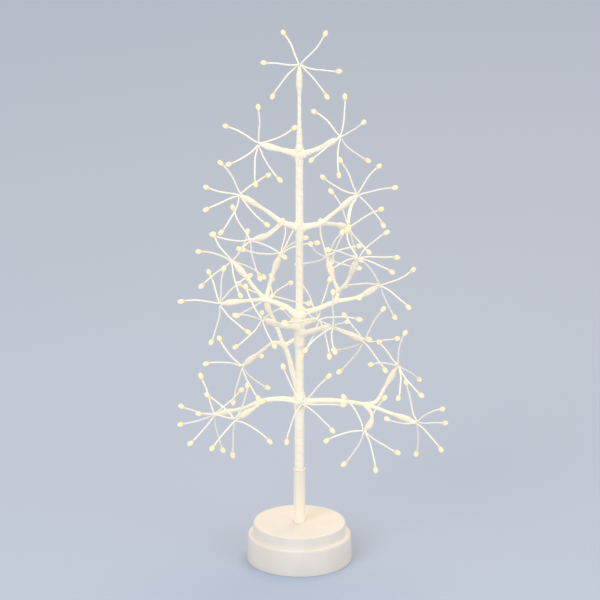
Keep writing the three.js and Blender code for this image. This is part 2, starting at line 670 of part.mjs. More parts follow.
// Each limb turns at its root, where a ball end sits in a cup on the trunk's short stub
const limbRadius = limbDiameter / 2;
const ballEnd = [[0, 0], [limbRadius * 0.3, limbRadius * 0.71], [limbRadius, limbRadius]];
const forkEnd = [[0, twigDiameter / 2]];
const cupSides = 6;
const cupRows = 4;
const cupFacets = Math.cos(Math.PI / cupSides) * Math.cos(Math.PI / 2 / cupRows);
const cupRadius = (limbRadius + gap) / cupFacets; // its flat facets still clear the ball
let trunk = turned(trunkProfile);
const cups = [];
for (const { name, level: atLevel, root, twigs } of limbs) {
  const knotPoint = new THREE.Vector3(0, 0, level[atLevel] + root);
  const place = ([x, y, z]) => new THREE.Vector3(x, y, level[atLevel] + z);
  const routes = twigs.map(({ path }) => path.map(place));
  const outward = routes[0][0].clone().sub(knotPoint).normalize();
  const pivot = knotPoint.clone().addScaledVector(outward, stubLength);
  const stub = sweptTube(
    new THREE.LineCurve3(knotPoint, pivot), [[0, limbRadius], [stubLength, limbRadius]], limbSides);
  trunk = trunk.add(stub);
  cups.push(solidOf(new THREE.SphereGeometry(cupRadius, cupSides, cupRows).translate(...pivot)));
  routes[0].unshift(pivot.clone().addScaledVector(outward, -limbRadius), pivot);
  const [main, ...forks] = routes;
  const branches = forks.map((route) => twig(route, forkEnd, twigDiameter));
  addPart(name, joined(twig(main, ballEnd, limbDiameter), ...branches), ivoryTape);
  twigs.forEach(({ spray: sprayName, wires }, i) => {
    const [before, hub] = routes[i].slice(-2);
    addPart(sprayName, spray(hub, before, wires), wireCoat);
  });
}
for (const cup of cups) trunk = trunk.subtract(cup);
trunk = trunk.subtract(cylinder([0, 0], trunkFoot - 1, rodTop + gap, rodBore));
addPart('trunk_binding', trunk, ivoryTape);
const crownHub = new THREE.Vector3(0, 0, crownTop);
addPart('spray_crown', spray(crownHub, new THREE.Vector3(0, 0, trunkEnd), crownWires), wireCoat);

// Leads inside the base, from the trunk's foot and the two terminals to the board
const leadRadius = leadDiameter / 2;
const roofClear = wellTop + leadRadius + gap;
const boardEdge = boardSpan[0] + leadDiameter;
function lead(points) {
  const curve = new THREE.CatmullRomCurve3(points.map((point) => new THREE.Vector3(...point)));
  const length = curve.getLength();
  const steps = Math.round(length / 5);
  const stations = Array.from({ length: steps + 1 }, (_, i) => [(length * i) / steps, leadRadius]);
  return sweptTube(curve, stations, wireSides);
}
const landing = boardTop + gap;
addPart('light_lead', lead([
  [0, 0, trunkFoot - gap], [0, 0, trunkFoot - 1.6], [2.4, 0, roofClear + 0.9], [18, 0, roofClear + 0.4],
  [boardEdge - 1.6, 0, roofClear - 0.2], [boardEdge, 0, roofClear - 6], [boardEdge, 0, landing],
]), wireCoat);
const tailTop = wellTop + tailRise;
const tailY = wellEnd - gap - contactThickness / 2;
addPart('battery_lead_red', lead([
  [cellPitch, tailY, tailTop + gap], [cellPitch, tailY, tailTop + 2],
  [cellPitch + 4, tailY - 5, tailTop + 2.5], [boardEdge - 1.8, 11.5, roofClear + 0.5],
  [boardEdge, 5, roofClear - 5], [boardEdge, 3.5, landing + 2], [boardEdge, 3.5, landing],
]), redLead);
addPart('battery_lead_black', lead([
  [-cellPitch, -tailY, tailTop + gap], [-cellPitch, -tailY, tailTop + 2], [2, 9 - tailY, roofClear + 2],
  [18, -13, roofClear + 1.5], [boardEdge - 1.3, -11.5, roofClear - 0.7],
  [boardEdge, -10.5, roofClear - 6], [boardEdge, -10.5, landing],
]), blackLead);

export default tree;
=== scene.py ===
# A twig tree of taped wire with warm teardrop lights, standing on a round battery base.
# The CAD frame comes in first; each piece below is dressed over its own node, in metres.
import math
from functools import partial
import bmesh
import bpy
import numpy as np
from mathutils import Matrix, Vector


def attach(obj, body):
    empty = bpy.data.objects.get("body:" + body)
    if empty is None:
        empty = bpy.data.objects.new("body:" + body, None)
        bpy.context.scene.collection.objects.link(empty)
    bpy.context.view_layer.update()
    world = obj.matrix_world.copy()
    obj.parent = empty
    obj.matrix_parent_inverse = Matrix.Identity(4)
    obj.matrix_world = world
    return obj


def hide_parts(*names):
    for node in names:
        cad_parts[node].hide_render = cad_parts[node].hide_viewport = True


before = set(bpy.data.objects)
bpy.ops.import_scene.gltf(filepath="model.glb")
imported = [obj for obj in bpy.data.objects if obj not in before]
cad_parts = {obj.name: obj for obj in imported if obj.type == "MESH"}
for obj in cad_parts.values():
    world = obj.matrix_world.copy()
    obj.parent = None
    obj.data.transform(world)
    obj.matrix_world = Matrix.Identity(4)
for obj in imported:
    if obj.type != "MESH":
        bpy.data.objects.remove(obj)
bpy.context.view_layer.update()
mm = 0.001

# What the base, the trunk and the limbs share with the CAD, in millimetres
tree = {
    "baseRadius": 42.56, "skirtTopRadius": 41.66, "skirtHeight": 22.55, "baseHeight": 31.95,
    "capRadius": 37.46, "wall": 2.0, "socketRadius": 4.75, "trunkFoot": 24.45, "sleeveTop": 78.95,
    "crownHub": 424.1, "levelShares": [0, 0.3208, 0.4883, 0.6723, 0.8255],
    "stubLength": 9.0, "limbRadius": 2.25, "twigRadius": 1.55, "knotClear": 2.7, "faceTilt": 20.0,
}
levels = [share * tree["crownHub"] for share in tree["levelShares"]]

# Each limb is (name, level, mm from there up to its root, twigs), and each twig is (its spray, its
# path, the spray's wires). A path is offsets in mm from the trunk's axis at the limb's level and
# ends at the spray's hub; a later twig starts on an earlier one.
# A wire is [clock angle seen from the front, lean towards the front], in degrees.
limbs = [
    ("limb_4_left", 4, -2, [
        ("spray_4_left", [[-16, 5, 0.5], [-32.5, 12, 2.5]],
         [[65, -21], [150, 10], [185, 17], [236, 30], [299, -25], [359, 28]])]),
    ("limb_4_right", 4, -3, [
        ("spray_4_right", [[15, -5, 4.5], [32.5, -12, 16.5]],
         [[7, -10], [57, 48], [129, -31], [182, 27], [232, 30], [316, -28]])]),
    ("limb_3_left", 3, 0, [
        ("spray_3_left_high", [[-14, -2, 6], [-27, -5, 17], [-47.5, -10, 32]],
         [[54, -35], [138, 18], [207, 0], [247, 28], [283, -33], [329, 26]]),
        ("spray_3_left_low", [[-14, -2, 6], [-24, -11, -1], [-39, -20, -3]],
         [[58, 28], [116, 27], [167, -22], [235, 70], [278, 23], [331, -26]])]),
    ("limb_3_right", 3, 0, [
        ("spray_3_right_high", [[16.5, 3, 3], [28.5, 6, 11.5], [46.5, 10, 25]],
         [[37, -30], [79, 24], [139, -17], [195, 37], [297, -23], [334, 22]]),
        ("spray_3_right_low", [[16.5, 3, 3], [28, 18, -3], [39.5, 34, -12]],
         [[11, -47], [60, -25], [140, 41], [166, -44], [206, -27], [335, 13]])]),
    ("limb_2_left", 2, 1, [
        ("spray_2_left_out", [[-9, 1.5, 9], [-27, 5, 14.5], [-40, 5.5, 14], [-64, 6, 11]],
         [[6, 31], [46, 12], [135, 19], [193, -19], [274, 20], [340, -36]]),
        ("spray_2_left_high", [[-27, 5, 14.5], [-36, 11, 22.5], [-44, 17, 31.5], [-54, 22, 41.5]],
         [[27, 36], [116, -34], [167, 34], [232, -17], [287, 32], [325, -37]]),
        ("spray_2_left_inner", [[-27, 5, 14.5], [-24, 9, 26.5], [-18, 14, 43.5], [-15, 16, 50.5]],
         [[9, -44], [29, -30], [57, -45], [73, -25], [199, -50], [276, -24]])]),
    ("limb_2_right", 2, 4, [
        ("spray_2_right_out", [[15, -4, 10.5], [29.5, 3, 14], [47, 6.5, 16.5], [65, 8, 26]],
         [[65, -28], [127, 32], [155, -33], [240, 55], [269, -33], [323, 39]]),
        ("spray_2_right_inner", [[29.5, 3, 14], [31, 6, 22], [28, 8, 30.5], [22, 12, 49]],
         [[31, 45], [71, -35], [109, -35], [256, -44], [309, 60], [350, -29]]),
        ("spray_2_right_high", [[31, 6, 22], [37.5, -4, 32], [47, -12, 57]],
         [[48, 23], [89, -21], [112, 29], [246, 45], [286, 42], [338, -45]])]),
    ("limb_2_front_left", 2, -7, [
        ("spray_2_front_left", [[-14, -12, -1], [-30, -26, 9.5]],
         [[0, 80], [60, 55], [155, 46], [224, 25], [280, 49], [333, -29]])]),
    ("limb_2_front", 2, -4, [
        ("spray_2_front", [[15.5, -1, 1]],
         [[16, -12], [91, 12], [164, 20], [205, -2], [264, 35], [334, -12]])]),
    ("limb_2_front_right", 2, -13, [
        ("spray_2_front_right", [[13, -14, -4], [27, -30, 5]],
         [[0, 34], [70, 69], [110, -24], [176, 53], [230, 30], [300, 35]])]),
    ("limb_1_left", 1, 0, [
        ("spray_1_left_out", [[-12, 0.5, 2], [-30, 0, 0.5], [-44, 4, -7], [-68.5, 10, -15.5]],
         [[47, -30], [168, -29], [221, 26], [254, -30], [285, 33], [340, -5]]),
        ("spray_1_left_in", [[-30, 0, 0.5], [-37, -4, -4.5], [-52, -12, -11]],
         [[20, 28], [122, 10], [184, -30], [219, 29], [280, 28], [311, -27]])]),
    ("limb_1_right", 1, 0, [
        ("spray_1_right_out", [[24.5, 2, 0], [53, 3, -4], [75, -2, -10], [94.5, -6, -16]],
         [[61, 45], [92, -45], [137, 30], [179, -40], [278, 44], [346, 0]]),
        ("spray_1_right_high", [[53, 3, -4], [62, 6, -2.5], [69, 10, 8], [80, 14, 25.5]],
         [[11, 35], [123, -52], [142, 27], [180, 40], [274, 48], [321, -44]]),
        ("spray_1_right_low", [[53, 3, -4], [58.5, -8, -8.5], [57, -19, -12.5], [52.5, -28, -14.5]],
         [[31, 22], [124, -17], [164, 13], [211, -19], [256, 20], [329, -20]])]),
    ("limb_1_front", 1, -3, [
        ("spray_1_front", [[1, -24, 6], [2, -48, 16.5]],
         [[44, 22], [92, -10], [131, 15], [202, -10], [274, 18], [333, -7]])]),
    ("limb_1_back", 1, 7, [
        ("spray_1_back_left",
         [[-5, 9, 20], [-12.5, 18, 41], [-20, 22, 42.5], [-30, 29, 33], [-46.5, 38, 16]],
         [[62, -59], [131, -37], [153, 31], [194, -26], [275, 29], [320, -30]]),
        ("spray_1_back_right",
         [[-12.5, 18, 41], [0, 23, 47], [24, 30, 52.5], [34, 34, 48.5], [52, 40, 37]],
         [[31, 24], [86, -35], [143, 30], [218, -20], [253, -42], [324, -39]]),
        ("spray_1_back_high", [[-12.5, 18, 41], [-20, 29, 58], [-26, 37, 69], [-22, 44, 74.5]],
         [[54, -57], [101, 26], [140, -40], [241, -15], [290, -30], [356, -60]])]),
]
crownWires = [[40, 16], [99, -18], [139, 5], [221, -13], [273, 32], [334, -30]]


# Materials

def linear(hexColour):
    channels = [int(hexColour[i:i + 2], 16) / 255 for i in (1, 3, 5)]
    flat = [c / 12.92 if c <= 0.04045 else ((c + 0.055) / 1.055) ** 2.4 for c in channels]
    return (*flat, 1)


def feed(node, inputs):
    # an input takes a value, or a link where it is given another node's output
    for key, value in inputs.items():
        if isinstance(value, bpy.types.NodeSocket):
            node.id_data.links.new(value, node.inputs[key])
        else:
            node.inputs[key].default_value = value


def addNode(tree, kind, inputs, **settings):
    # its outputs come back, ready to feed the next node
    node = tree.nodes.new("ShaderNode" + kind)
    for name, value in settings.items():
        setattr(node, name, value)
    feed(node, inputs)
    return node.outputs


def newMaterial(name, shader):
    # back come the material, addNode bound to its tree, and its surface shader
    material = bpy.data.materials.new(name)
    material.use_nodes = True
    surface = material.node_tree.nodes["Principled BSDF"]
    feed(surface, shader)
    return material, partial(addNode, material.node_tree), surface


# Crepe paper tape wound in a spiral: a soft matt skin with a fine crinkle and a step at each turn, and
# painted shade along each step.
# Sizes are in mm; the edge is the share of a turn over which the tape steps up.
tapeLook = {"colour": "#FFF7E4", "shade": "#F6E7CC", "roughness": 0.86, "sheen": 0.12, "edge": 0.16,
            "step": 0.18, "grain": 0.7, "grainDepth": 0.12, "crinkle": 0.7, "blotch": 9.0}


def paperTape():
    look = tapeLook
    material, add, surface = newMaterial("crepePaperTape", {
        "Roughness": look["roughness"], "IOR": 1.46, "Specular IOR Level": 0.3,
        "Sheen Weight": look["sheen"]})
    wrap = add("Attribute", {}, attribute_name="wrap")
    parts = add("SeparateXYZ", {0: wrap["Vector"]})
    angle = add("Math", {0: parts[1], 1: parts[0]}, operation="ARCTAN2")
    turn = add("MapRange", {0: angle[0], 1: -math.pi, 2: math.pi})
    # The tape's edge lies on the turn before it: a quick step up, then a slow fall
    edge = add("MapRange", {0: turn[0], 2: look["edge"]}, interpolation_type="SMOOTHSTEP")
    fall = add("MapRange", {0: turn[0], 1: look["edge"], 3: 1.0, 4: 0.0})
    step = add("Math", {0: edge[0], 1: fall[0]}, operation="MULTIPLY")
    place = add("TexCoord", {})
    # Crepe grain is about 0.4 mm; drawn at 0.7 mm so that it shows
    grain = add("TexNoise", {"Vector": place["Object"], "Scale": 1 / (look["grain"] * mm),
                             "Detail": 3.0, "Roughness": 0.6})
    blotch = add("TexNoise", {"Vector": place["Object"], "Scale": 1 / (look["blotch"] * mm)})
    crinkled = add("Bump", {"Height": grain[0], "Distance": look["grainDepth"] * mm,
                            "Strength": look["crinkle"]})
    wound = add("Bump", {"Height": step[0], "Distance": look["step"] * mm, "Normal": crinkled[0]})
    # A doubled layer is a little whiter; the edge itself holds a thin line of painted shade, the shadow
    # its step would cast
    line = add("MapRange", {0: turn[0], 2: 0.2, 3: 0.4, 4: 0.0})
    patch = add("MapRange", {0: blotch[0], 1: 0.3, 2: 0.75, 4: 0.45})
    # the darker of the painted edge shade and the random blotch sets how far the colour goes towards the
    # shade colour
    amount = add("Math", {0: line[0], 1: patch[0]}, operation="MAXIMUM")
    tone = add("Mix", {0: amount[0], 6: linear(look["colour"]), 7: linear(look["shade"])},
               data_type="RGBA")
    feed(surface, {"Base Color": tone[2], "Normal": wound[0]})
    return material


# PVC-coated twin wire: satin ivory, with the shallow groove between its two cores, and painted shade in
# that groove
wireLook = {"colour": "#FFFAEC", "shade": "#F3E8CF", "roughness": 0.5, "wave": 3.0, "groove": 0.12}


def wireCoat():
    look = wireLook
    material, add, surface = newMaterial("pvcCoatedWire", {"Roughness": look["roughness"], "IOR": 1.53})
    place = add("TexCoord", {})
    parts = add("SeparateXYZ", {0: place["UV"]})
    # two cores leave a groove on either side, so two waves go round the wire
    circling = add("Math", {0: parts[1], 1: 4 * math.pi}, operation="MULTIPLY")
    twin = add("Math", {0: circling[0]}, operation="COSINE")
    groove = add("MapRange", {0: twin[0], 1: 0.3})
    wave = add("TexNoise", {"Vector": place["Object"], "Scale": 1 / (look["wave"] * mm)})
    # painted shade: the colour darkens in the grooves, more in some stretches of the wire than others by
    # the noise
    amount = add("Math", {0: groove[0], 1: wave[0]}, operation="MULTIPLY")
    tone = add("Mix", {0: amount[0], 6: linear(look["colour"]), 7: linear(look["shade"])},
               data_type="RGBA")
    relief = add("Bump", {"Height": twin[0], "Distance": look["groove"] * mm,
                          "Strength": 0.8}, invert=True)
    feed(surface, {"Base Color": tone[2], "Normal": relief[0]})
    return material


# Cast resin over a warm LED: a glossy drop, warm white at its belly and amber at the wire.
# The neck ends and the belly starts at these shares of the drop's length.
dropLook = {"belly": "#FFF9D4", "neck": "#F8C766", "resin": "#6A5638", "glow": 0.86,
            "roughness": 0.16, "neckEnd": 0.08, "bellyStart": 0.5, "tipStart": 0.86, "tipShare": 0.55}


def resinDrop():
    look = dropLook
    material, add, surface = newMaterial("litResinDrop", {
        "Base Color": linear(look["resin"]), "Roughness": look["roughness"], "IOR": 1.5,
        "Emission Strength": look["glow"]})
    place = add("TexCoord", {})
    parts = add("SeparateXYZ", {0: place["UV"]})
    along = add("MapRange", {0: parts[1], 1: look["neckEnd"], 2: look["bellyStart"]},
                interpolation_type="SMOOTHSTEP")
    tip = add("MapRange", {0: parts[1], 1: look["tipStart"], 3: 1.0, 4: look["tipShare"]},
              interpolation_type="SMOOTHSTEP")
    lit = add("Math", {0: along[0], 1: tip[0]}, operation="MULTIPLY")
    tone = add("Mix", {0: lit[0], 6: linear(look["neck"]), 7: linear(look["belly"])}, data_type="RGBA")
    feed(surface, {"Emission Color": tone[2]})
    return material


# Injection-moulded plastic: satin, with a fine spark grain and the faintest flow clouds.
# Each look is (material, colour, shade, roughness, strength of the grain).
mouldedLooks = {
    "base_plastic": ("mouldedAbs", "#E9E2D9", "#E3D9CC", 0.42, 0.5),  # warm off-white housing
    "circuit_board": ("glassEpoxyBoard", "#2F6B45", "#265A39", 0.42, 0.3),  # green laminate
    "switch_plastic": ("blackNylon", "#26262A", "#1C1C20", 0.5, 0.6),  # dull black knob and chip
    "red_lead": ("redPvcLead", "#A32420", "#8E1E1B", 0.5, 0.3),  # soft coats of the leads
    "black_lead": ("blackPvcLead", "#1D1D1F", "#161618", 0.5, 0.3),
}


def moulded(name, colour, shade, roughness, strength):
    material, add, surface = newMaterial(name, {"IOR": 1.53})
    place = add("TexCoord", {})
    cloud = add("TexNoise", {"Vector": place["Object"], "Scale": 1 / (26 * mm)})
    soft = add("MapRange", {0: cloud[0], 1: 0.35, 2: 0.7, 4: 0.6})
    tone = add("Mix", {0: soft[0], 6: linear(colour), 7: linear(shade)}, data_type="RGBA")
    # Spark grain is near 0.1 mm; drawn at half a millimetre so that it shows
    spark = add("TexNoise", {"Vector": place["Object"], "Scale": 1 / (0.5 * mm)})
    gloss = add("MapRange", {0: spark[0], 1: 0.3, 2: 0.7, 3: roughness - 0.04, 4: roughness + 0.06})
    relief = add("Bump", {"Height": spark[0], "Distance": 0.03 * mm, "Strength": strength})
    feed(surface, {"Base Color": tone[2], "Roughness": gloss[0], "Normal": relief[0]})
    return material


# Extruded PVC tube: smooth and satin, with faint die lines along it
sleeveLook = {"colour": "#FBF1DF", "shade": "#F1E4CC", "roughness": 0.48, "lines": 0.8, "depth": 0.05}


def extrudedPvc():
    look = sleeveLook
    material, add, surface = newMaterial("extrudedPvc", {"Roughness": look["roughness"], "IOR": 1.53})
    place = add("TexCoord", {})
    drawn = add("Mapping", {"Vector": place["Object"], "Scale": (1.0, 1.0, 0.02)})
    lines = add("TexNoise", {"Vector": drawn[0], "Scale": 1 / (look["lines"] * mm)})
    soft = add("MapRange", {0: lines[0], 1: 0.35, 2: 0.75, 4: 0.5})
    tone = add("Mix", {0: soft[0], 6: linear(look["colour"]), 7: linear(look["shade"])}, data_type="RGBA")
    relief = add("Bump", {"Height": lines[0], "Distance": look["depth"] * mm, "Strength": 0.6})
    feed(surface, {"Base Color": tone[2], "Normal": relief[0]})
    return material


# Plated metal: bright, with fine wear that breaks up its reflections.
# Each look is (material, colour, roughness, length of the wear in mm).
metalLooks = {
    "steel_rod": ("drawnSteel", "#A9ACB0", 0.4, 1.2),  # grey and dull
    "screw_steel": ("zincPlatedSteel", "#B9BCC0", 0.34, 0.5),  # cool and bright
    "spring_metal": ("nickelPlatedSteel", "#C9C4B6", 0.3, 0.8),  # warm and bright
}


def platedMetal(name, colour, roughness, length):
    material, add, surface = newMaterial(name, {"Base Color": linear(colour), "Metallic": 1.0})
    place = add("TexCoord", {})
    wear = add("TexNoise", {"Vector": place["Object"], "Scale": 1 / (length * mm), "Detail": 4.0})
    gloss = add("MapRange", {0: wear[0], 1: 0.3, 2: 0.75, 3: roughness - 0.08, 4: roughness + 0.14})
    feed(surface, {"Roughness": gloss[0]})
    return material


# A cell's printed shrink jacket: satin slate film, with a pale band at the plus end and a fine fleck.
# The band starts at this share of the cell's length.
jacketLook = {"film": "#3E4F63", "fleck": "#4A5C71", "band": "#C9CED3", "bandStart": 0.775,
              "roughness": 0.3, "fleckSize": 0.6, "ripple": 2.5, "rippleDepth": 0.05}


def cellJacket():
    look = jacketLook
    material, add, surface = newMaterial("printedJacket", {"Roughness": look["roughness"], "IOR": 1.55})
    place = add("TexCoord", {})
    fleck = add("TexNoise", {"Vector": place["Object"], "Scale": 1 / (look["fleckSize"] * mm)})
    body = add("Mix", {0: fleck[0], 6: linear(look["film"]), 7: linear(look["fleck"])}, data_type="RGBA")
    along = add("Attribute", {}, attribute_name="along")
    band = add("MapRange", {0: along["Fac"], 1: look["bandStart"], 2: look["bandStart"] + 0.01})
    tone = add("Mix", {0: band[0], 6: body[2], 7: linear(look["band"])}, data_type="RGBA")
    # the film shrinks a little unevenly over the can
    ripple = add("TexNoise", {"Vector": place["Object"],
                              "Scale": 1 / (look["ripple"] * mm), "Detail": 1.0})
    relief = add("Bump", {"Height": ripple[0], "Distance": look["rippleDepth"] * mm, "Strength": 0.4})
    feed(surface, {"Base Color": tone[2], "Normal": relief[0]})
    return material


# Each material goes by the record's slot that it finishes
materials = {"paper_tape": paperTape(), "light_wire": wireCoat(), "light_bead": resinDrop(),
             "sleeve_plastic": extrudedPvc(), "battery_jacket": cellJacket()}
materials.update({slot: moulded(*look) for slot, look in mouldedLooks.items()})
materials.update({slot: platedMetal(*look) for slot, look in metalLooks.items()})
print("materials ready")


# Modelling helpers

def deselectAll():
    # this ends edit mode too
    if bpy.context.object and bpy.context.object.mode != "OBJECT":
        bpy.ops.object.mode_set(mode="OBJECT")
    bpy.ops.object.select_all(action="DESELECT")


def selectOnly(piece):
    deselectAll()
    piece.select_set(True)
    bpy.context.view_layer.objects.active = piece


def edit(piece):
    selectOnly(piece)
    bpy.ops.object.mode_set(mode="EDIT")


def selectAll():
    bpy.ops.mesh.select_all(action="SELECT")


def extrude(rise):
    bpy.ops.mesh.extrude_region_move(TRANSFORM_OT_translate={"value": (0, 0, rise * mm)})


def inset(width):
    bpy.ops.mesh.inset(thickness=width * mm)


def bevel(width, segments):
    bpy.ops.mesh.bevel(offset=width * mm, segments=segments)


def pick(piece, faceTest):
    mesh = bmesh.from_edit_mesh(piece.data)
    bpy.ops.mesh.select_all(action="DESELECT")
    for face in mesh.faces:
        if faceTest(face.calc_center_median() / mm, face.normal):
            face.select_set(True)
    mesh.select_flush_mode()
    bmesh.update_edit_mesh(piece.data)


def pickEdges(piece, edgeTest):
    mesh = bmesh.from_edit_mesh(piece.data)
    bpy.ops.mesh.select_all(action="DESELECT")
    bpy.ops.mesh.select_mode(type="EDGE")
    for edge in mesh.edges:
        if edgeTest(edge.verts[0].co / mm, edge.verts[1].co / mm):
            edge.select_set(True)
    bmesh.update_edit_mesh(piece.data)


def smoothShade(piece, degrees):
    selectOnly(piece)
    bpy.ops.object.shade_smooth_by_angle(angle=math.radians(degrees))


def modify(piece, kind, **settings):
    selectOnly(piece)
    bpy.ops.object.modifier_add(type=kind)
    modifier = piece.modifiers[-1]
    for name, value in settings.items():
        setattr(modifier, name, value)
    bpy.ops.object.modifier_apply(modifier=modifier.name)


def soften(piece, width, segments=2):
    modify(piece, "BEVEL", width=width * mm, segments=segments, limit_method="ANGLE",
           angle_limit=math.radians(40))
    smoothShade(piece, 35)
    return piece


def reshape(piece, tools, operation="DIFFERENCE"):
    # each tool is cut from the piece, or joined into it, and then removed
    for tool in tools:
        modify(piece, "BOOLEAN", operation=operation, solver="EXACT", object=tool)
        bpy.data.objects.remove(tool)
    return piece


def joinAll(pieces):
    deselectAll()
    for piece in pieces:
        piece.select_set(True)
    bpy.context.view_layer.objects.active = pieces[0]
    if len(pieces) > 1:
        bpy.ops.object.join()
    return pieces[0]


def copyTo(piece, place, turn):
    # a copy with its own mesh, turned and then moved to a place in mm
    twin = piece.copy()
    twin.data = piece.data.copy()
    twin.data.transform(Matrix.Translation(Vector(place) * mm) @ turn)
    bpy.context.collection.objects.link(twin)
    return twin


def finishPiece(piece, name, slot, node, body="base"):
    piece.name = piece.data.name = name
    piece.data.materials.clear()
    piece.data.materials.append(materials[slot])
    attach(piece, body)
    if node:
        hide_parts(node)


def around(middle, reach):
    return middle - reach, middle + reach


def addBlock(x, y, z):
    # a block between two places along each axis, in mm
    deselectAll()
    bpy.ops.mesh.primitive_cube_add(
        size=mm, location=[(a + b) / 2 * mm for a, b in (x, y, z)],
        scale=[b - a for a, b in (x, y, z)])
    bpy.ops.object.transform_apply()
    return bpy.context.object


def addRod(place, radius, low, high, sides=32):
    deselectAll()
    bpy.ops.mesh.primitive_cylinder_add(
        vertices=sides, radius=radius * mm, depth=(high - low) * mm,
        location=(place[0] * mm, place[1] * mm, (low + high) / 2 * mm))
    bpy.ops.object.transform_apply()
    return bpy.context.object


def layTubes(tubes, sides):
    # each tube is (points in mm, one radius in mm or one for each point); together they make one mesh
    deselectAll()
    bpy.ops.curve.primitive_nurbs_path_add(location=(0, 0, 0))
    curve = bpy.context.object.data
    curve.splines.clear()
    for points, radii in tubes:
        spline = curve.splines.new("POLY")
        spline.points.add(len(points) - 1)
        for knot, place, radius in zip(spline.points, points, np.broadcast_to(radii, len(points))):
            knot.co = (*(Vector(place) * mm), 1)
            knot.radius = radius
    curve.dimensions = "3D"
    curve.twist_mode = "MINIMUM"
    curve.bevel_depth = mm
    curve.bevel_resolution = (sides - 4) // 2
    curve.use_fill_caps = True
    bpy.ops.object.convert(target="MESH")
    return bpy.context.object


def smoothPath(points, spacing):
    # a centripetal curve through the points, as the CAD's own, in even steps
    points = [Vector(p) for p in points]
    route = [points[0] * 2 - points[1], *points, points[-1] * 2 - points[-2]]
    fine = 24
    dense = []
    for p0, p1, p2, p3 in zip(route, route[1:], route[2:], route[3:]):
        d0, d1, d2 = [max((b - a).length ** 0.5, 1e-4) for a, b in ((p0, p1), (p1, p2), (p2, p3))]
        m1 = ((p1 - p0) / d0 - (p2 - p0) / (d0 + d1) + (p2 - p1) / d1) * d1
        m2 = ((p2 - p1) / d1 - (p3 - p1) / (d1 + d2) + (p3 - p2) / d2) * d1
        for i in range(fine):
            t = i / fine
            dense.append(p1 + m1 * t + (3 * (p2 - p1) - 2 * m1 - m2) * t ** 2
                         + (2 * (p1 - p2) + m1 + m2) * t ** 3)
    dense = np.array([*dense, points[-1]])
    travelled = np.concatenate([[0], np.cumsum(np.linalg.norm(np.diff(dense, axis=0), axis=1))])
    steps = max(2, round(travelled[-1] / spacing))
    at = np.linspace(0, travelled[-1], steps + 1)
    return np.stack([np.interp(at, travelled, dense[:, k]) for k in range(3)], axis=1), at


def softly(at, stations):
    # a value that eases from each [distance, value] station to the next
    at = np.clip(at, stations[0][0], stations[-1][0])
    xs, ys = np.array(stations, dtype=float).T
    i = np.clip(np.searchsorted(xs, at, side="right") - 1, 0, len(xs) - 2)
    t = (at - xs[i]) / (xs[i + 1] - xs[i])
    return ys[i] + (ys[i + 1] - ys[i]) * t * t * (3 - 2 * t)


def windTape(piece, strands):
    # each strand is (points, wraps of tape so far); a vertex takes the phase of its nearest strand
    mesh = piece.data
    places = np.empty(len(mesh.vertices) * 3)
    mesh.vertices.foreach_get("co", places)
    places = places.reshape(-1, 3) / mm
    frames = []
    for points, turns in strands:
        ahead = np.gradient(points, axis=0)
        ahead /= np.linalg.norm(ahead, axis=1)[:, None]
        # the seam starts square to a direction that no strand follows
        side = np.cross(ahead[0], (0.31, 0.83, 0.46))
        for point, forward, turn in zip(points, ahead, turns):
            side = side - forward * side.dot(forward)
            side = side / np.linalg.norm(side)
            frames.append([*point, *side, *np.cross(forward, side), turn])
    centres, sides, ups, wraps = np.split(np.array(frames), [3, 6, 9], axis=1)
    phase = np.empty(len(places))
    batch = 4000
    for start in range(0, len(places), batch):
        block = places[start:start + batch]
        near = ((block[:, None, :] - centres[None]) ** 2).sum(axis=2).argmin(axis=1)
        away = block - centres[near]
        angle = np.arctan2((away * ups[near]).sum(axis=1), (away * sides[near]).sum(axis=1))
        phase[start:start + batch] = angle + 2 * math.pi * wraps[near, 0]
    values = np.stack([np.cos(phase), np.sin(phase), np.zeros(len(phase))], axis=1)
    wrap = mesh.attributes.new("wrap", "FLOAT_VECTOR", "POINT")
    wrap.data.foreach_set("vector", values.ravel())


# Round base

housing = {"sides": 128, "shoulder": 2.4, "capEdge": 1.6, "softEdge": 0.5}


def ringAt(a, b, radius, height):
    return all(abs(math.hypot(p.x, p.y) - radius) < 0.4 and abs(p.z - height) < 0.2 for p in (a, b))


def buildHousing():
    base, skirt, cap = tree["baseRadius"], tree["skirtTopRadius"], tree["capRadius"]
    top, height, socket = tree["skirtHeight"], tree["baseHeight"], tree["socketRadius"]
    piece = addRod((0, 0), base, 0, top, housing["sides"])
    edit(piece)
    pick(piece, lambda c, n: n.z > 0.9 and c.z > top - 1)
    bpy.ops.transform.resize(value=(skirt / base, skirt / base, 1))
    inset(skirt - cap)
    extrude(height - top)
    # the socket for the sleeve
    inset(cap - socket)
    extrude(tree["trunkFoot"] - height)
    # the hollow underneath, up to the ceiling
    pick(piece, lambda c, n: n.z < -0.9 and c.z < 1)
    inset(tree["wall"])
    extrude(top - tree["wall"])
    # each ring of edges is (its radius, its height)
    for rings, width, segments in (
            ([(skirt, top)], housing["shoulder"], 6),
            ([(cap, height)], housing["capEdge"], 5),
            ([(cap, top), (base, 0), (socket, height)], housing["softEdge"], 3)):
        pickEdges(piece, lambda a, b: any(ringAt(a, b, *ring) for ring in rings))
        bevel(width, segments)
    smoothShade(piece, 38)
    finishPiece(piece, "housingShell", "base_plastic", "base_housing")


buildHousing()

# The lip starts this far below the sleeve's rim
sleeve = {"radius": 4.675, "bore": 4.075, "lip": 0.32, "lipWidth": 1.6, "rim": 0.4, "softEdge": 0.28,
          "sides": 64}


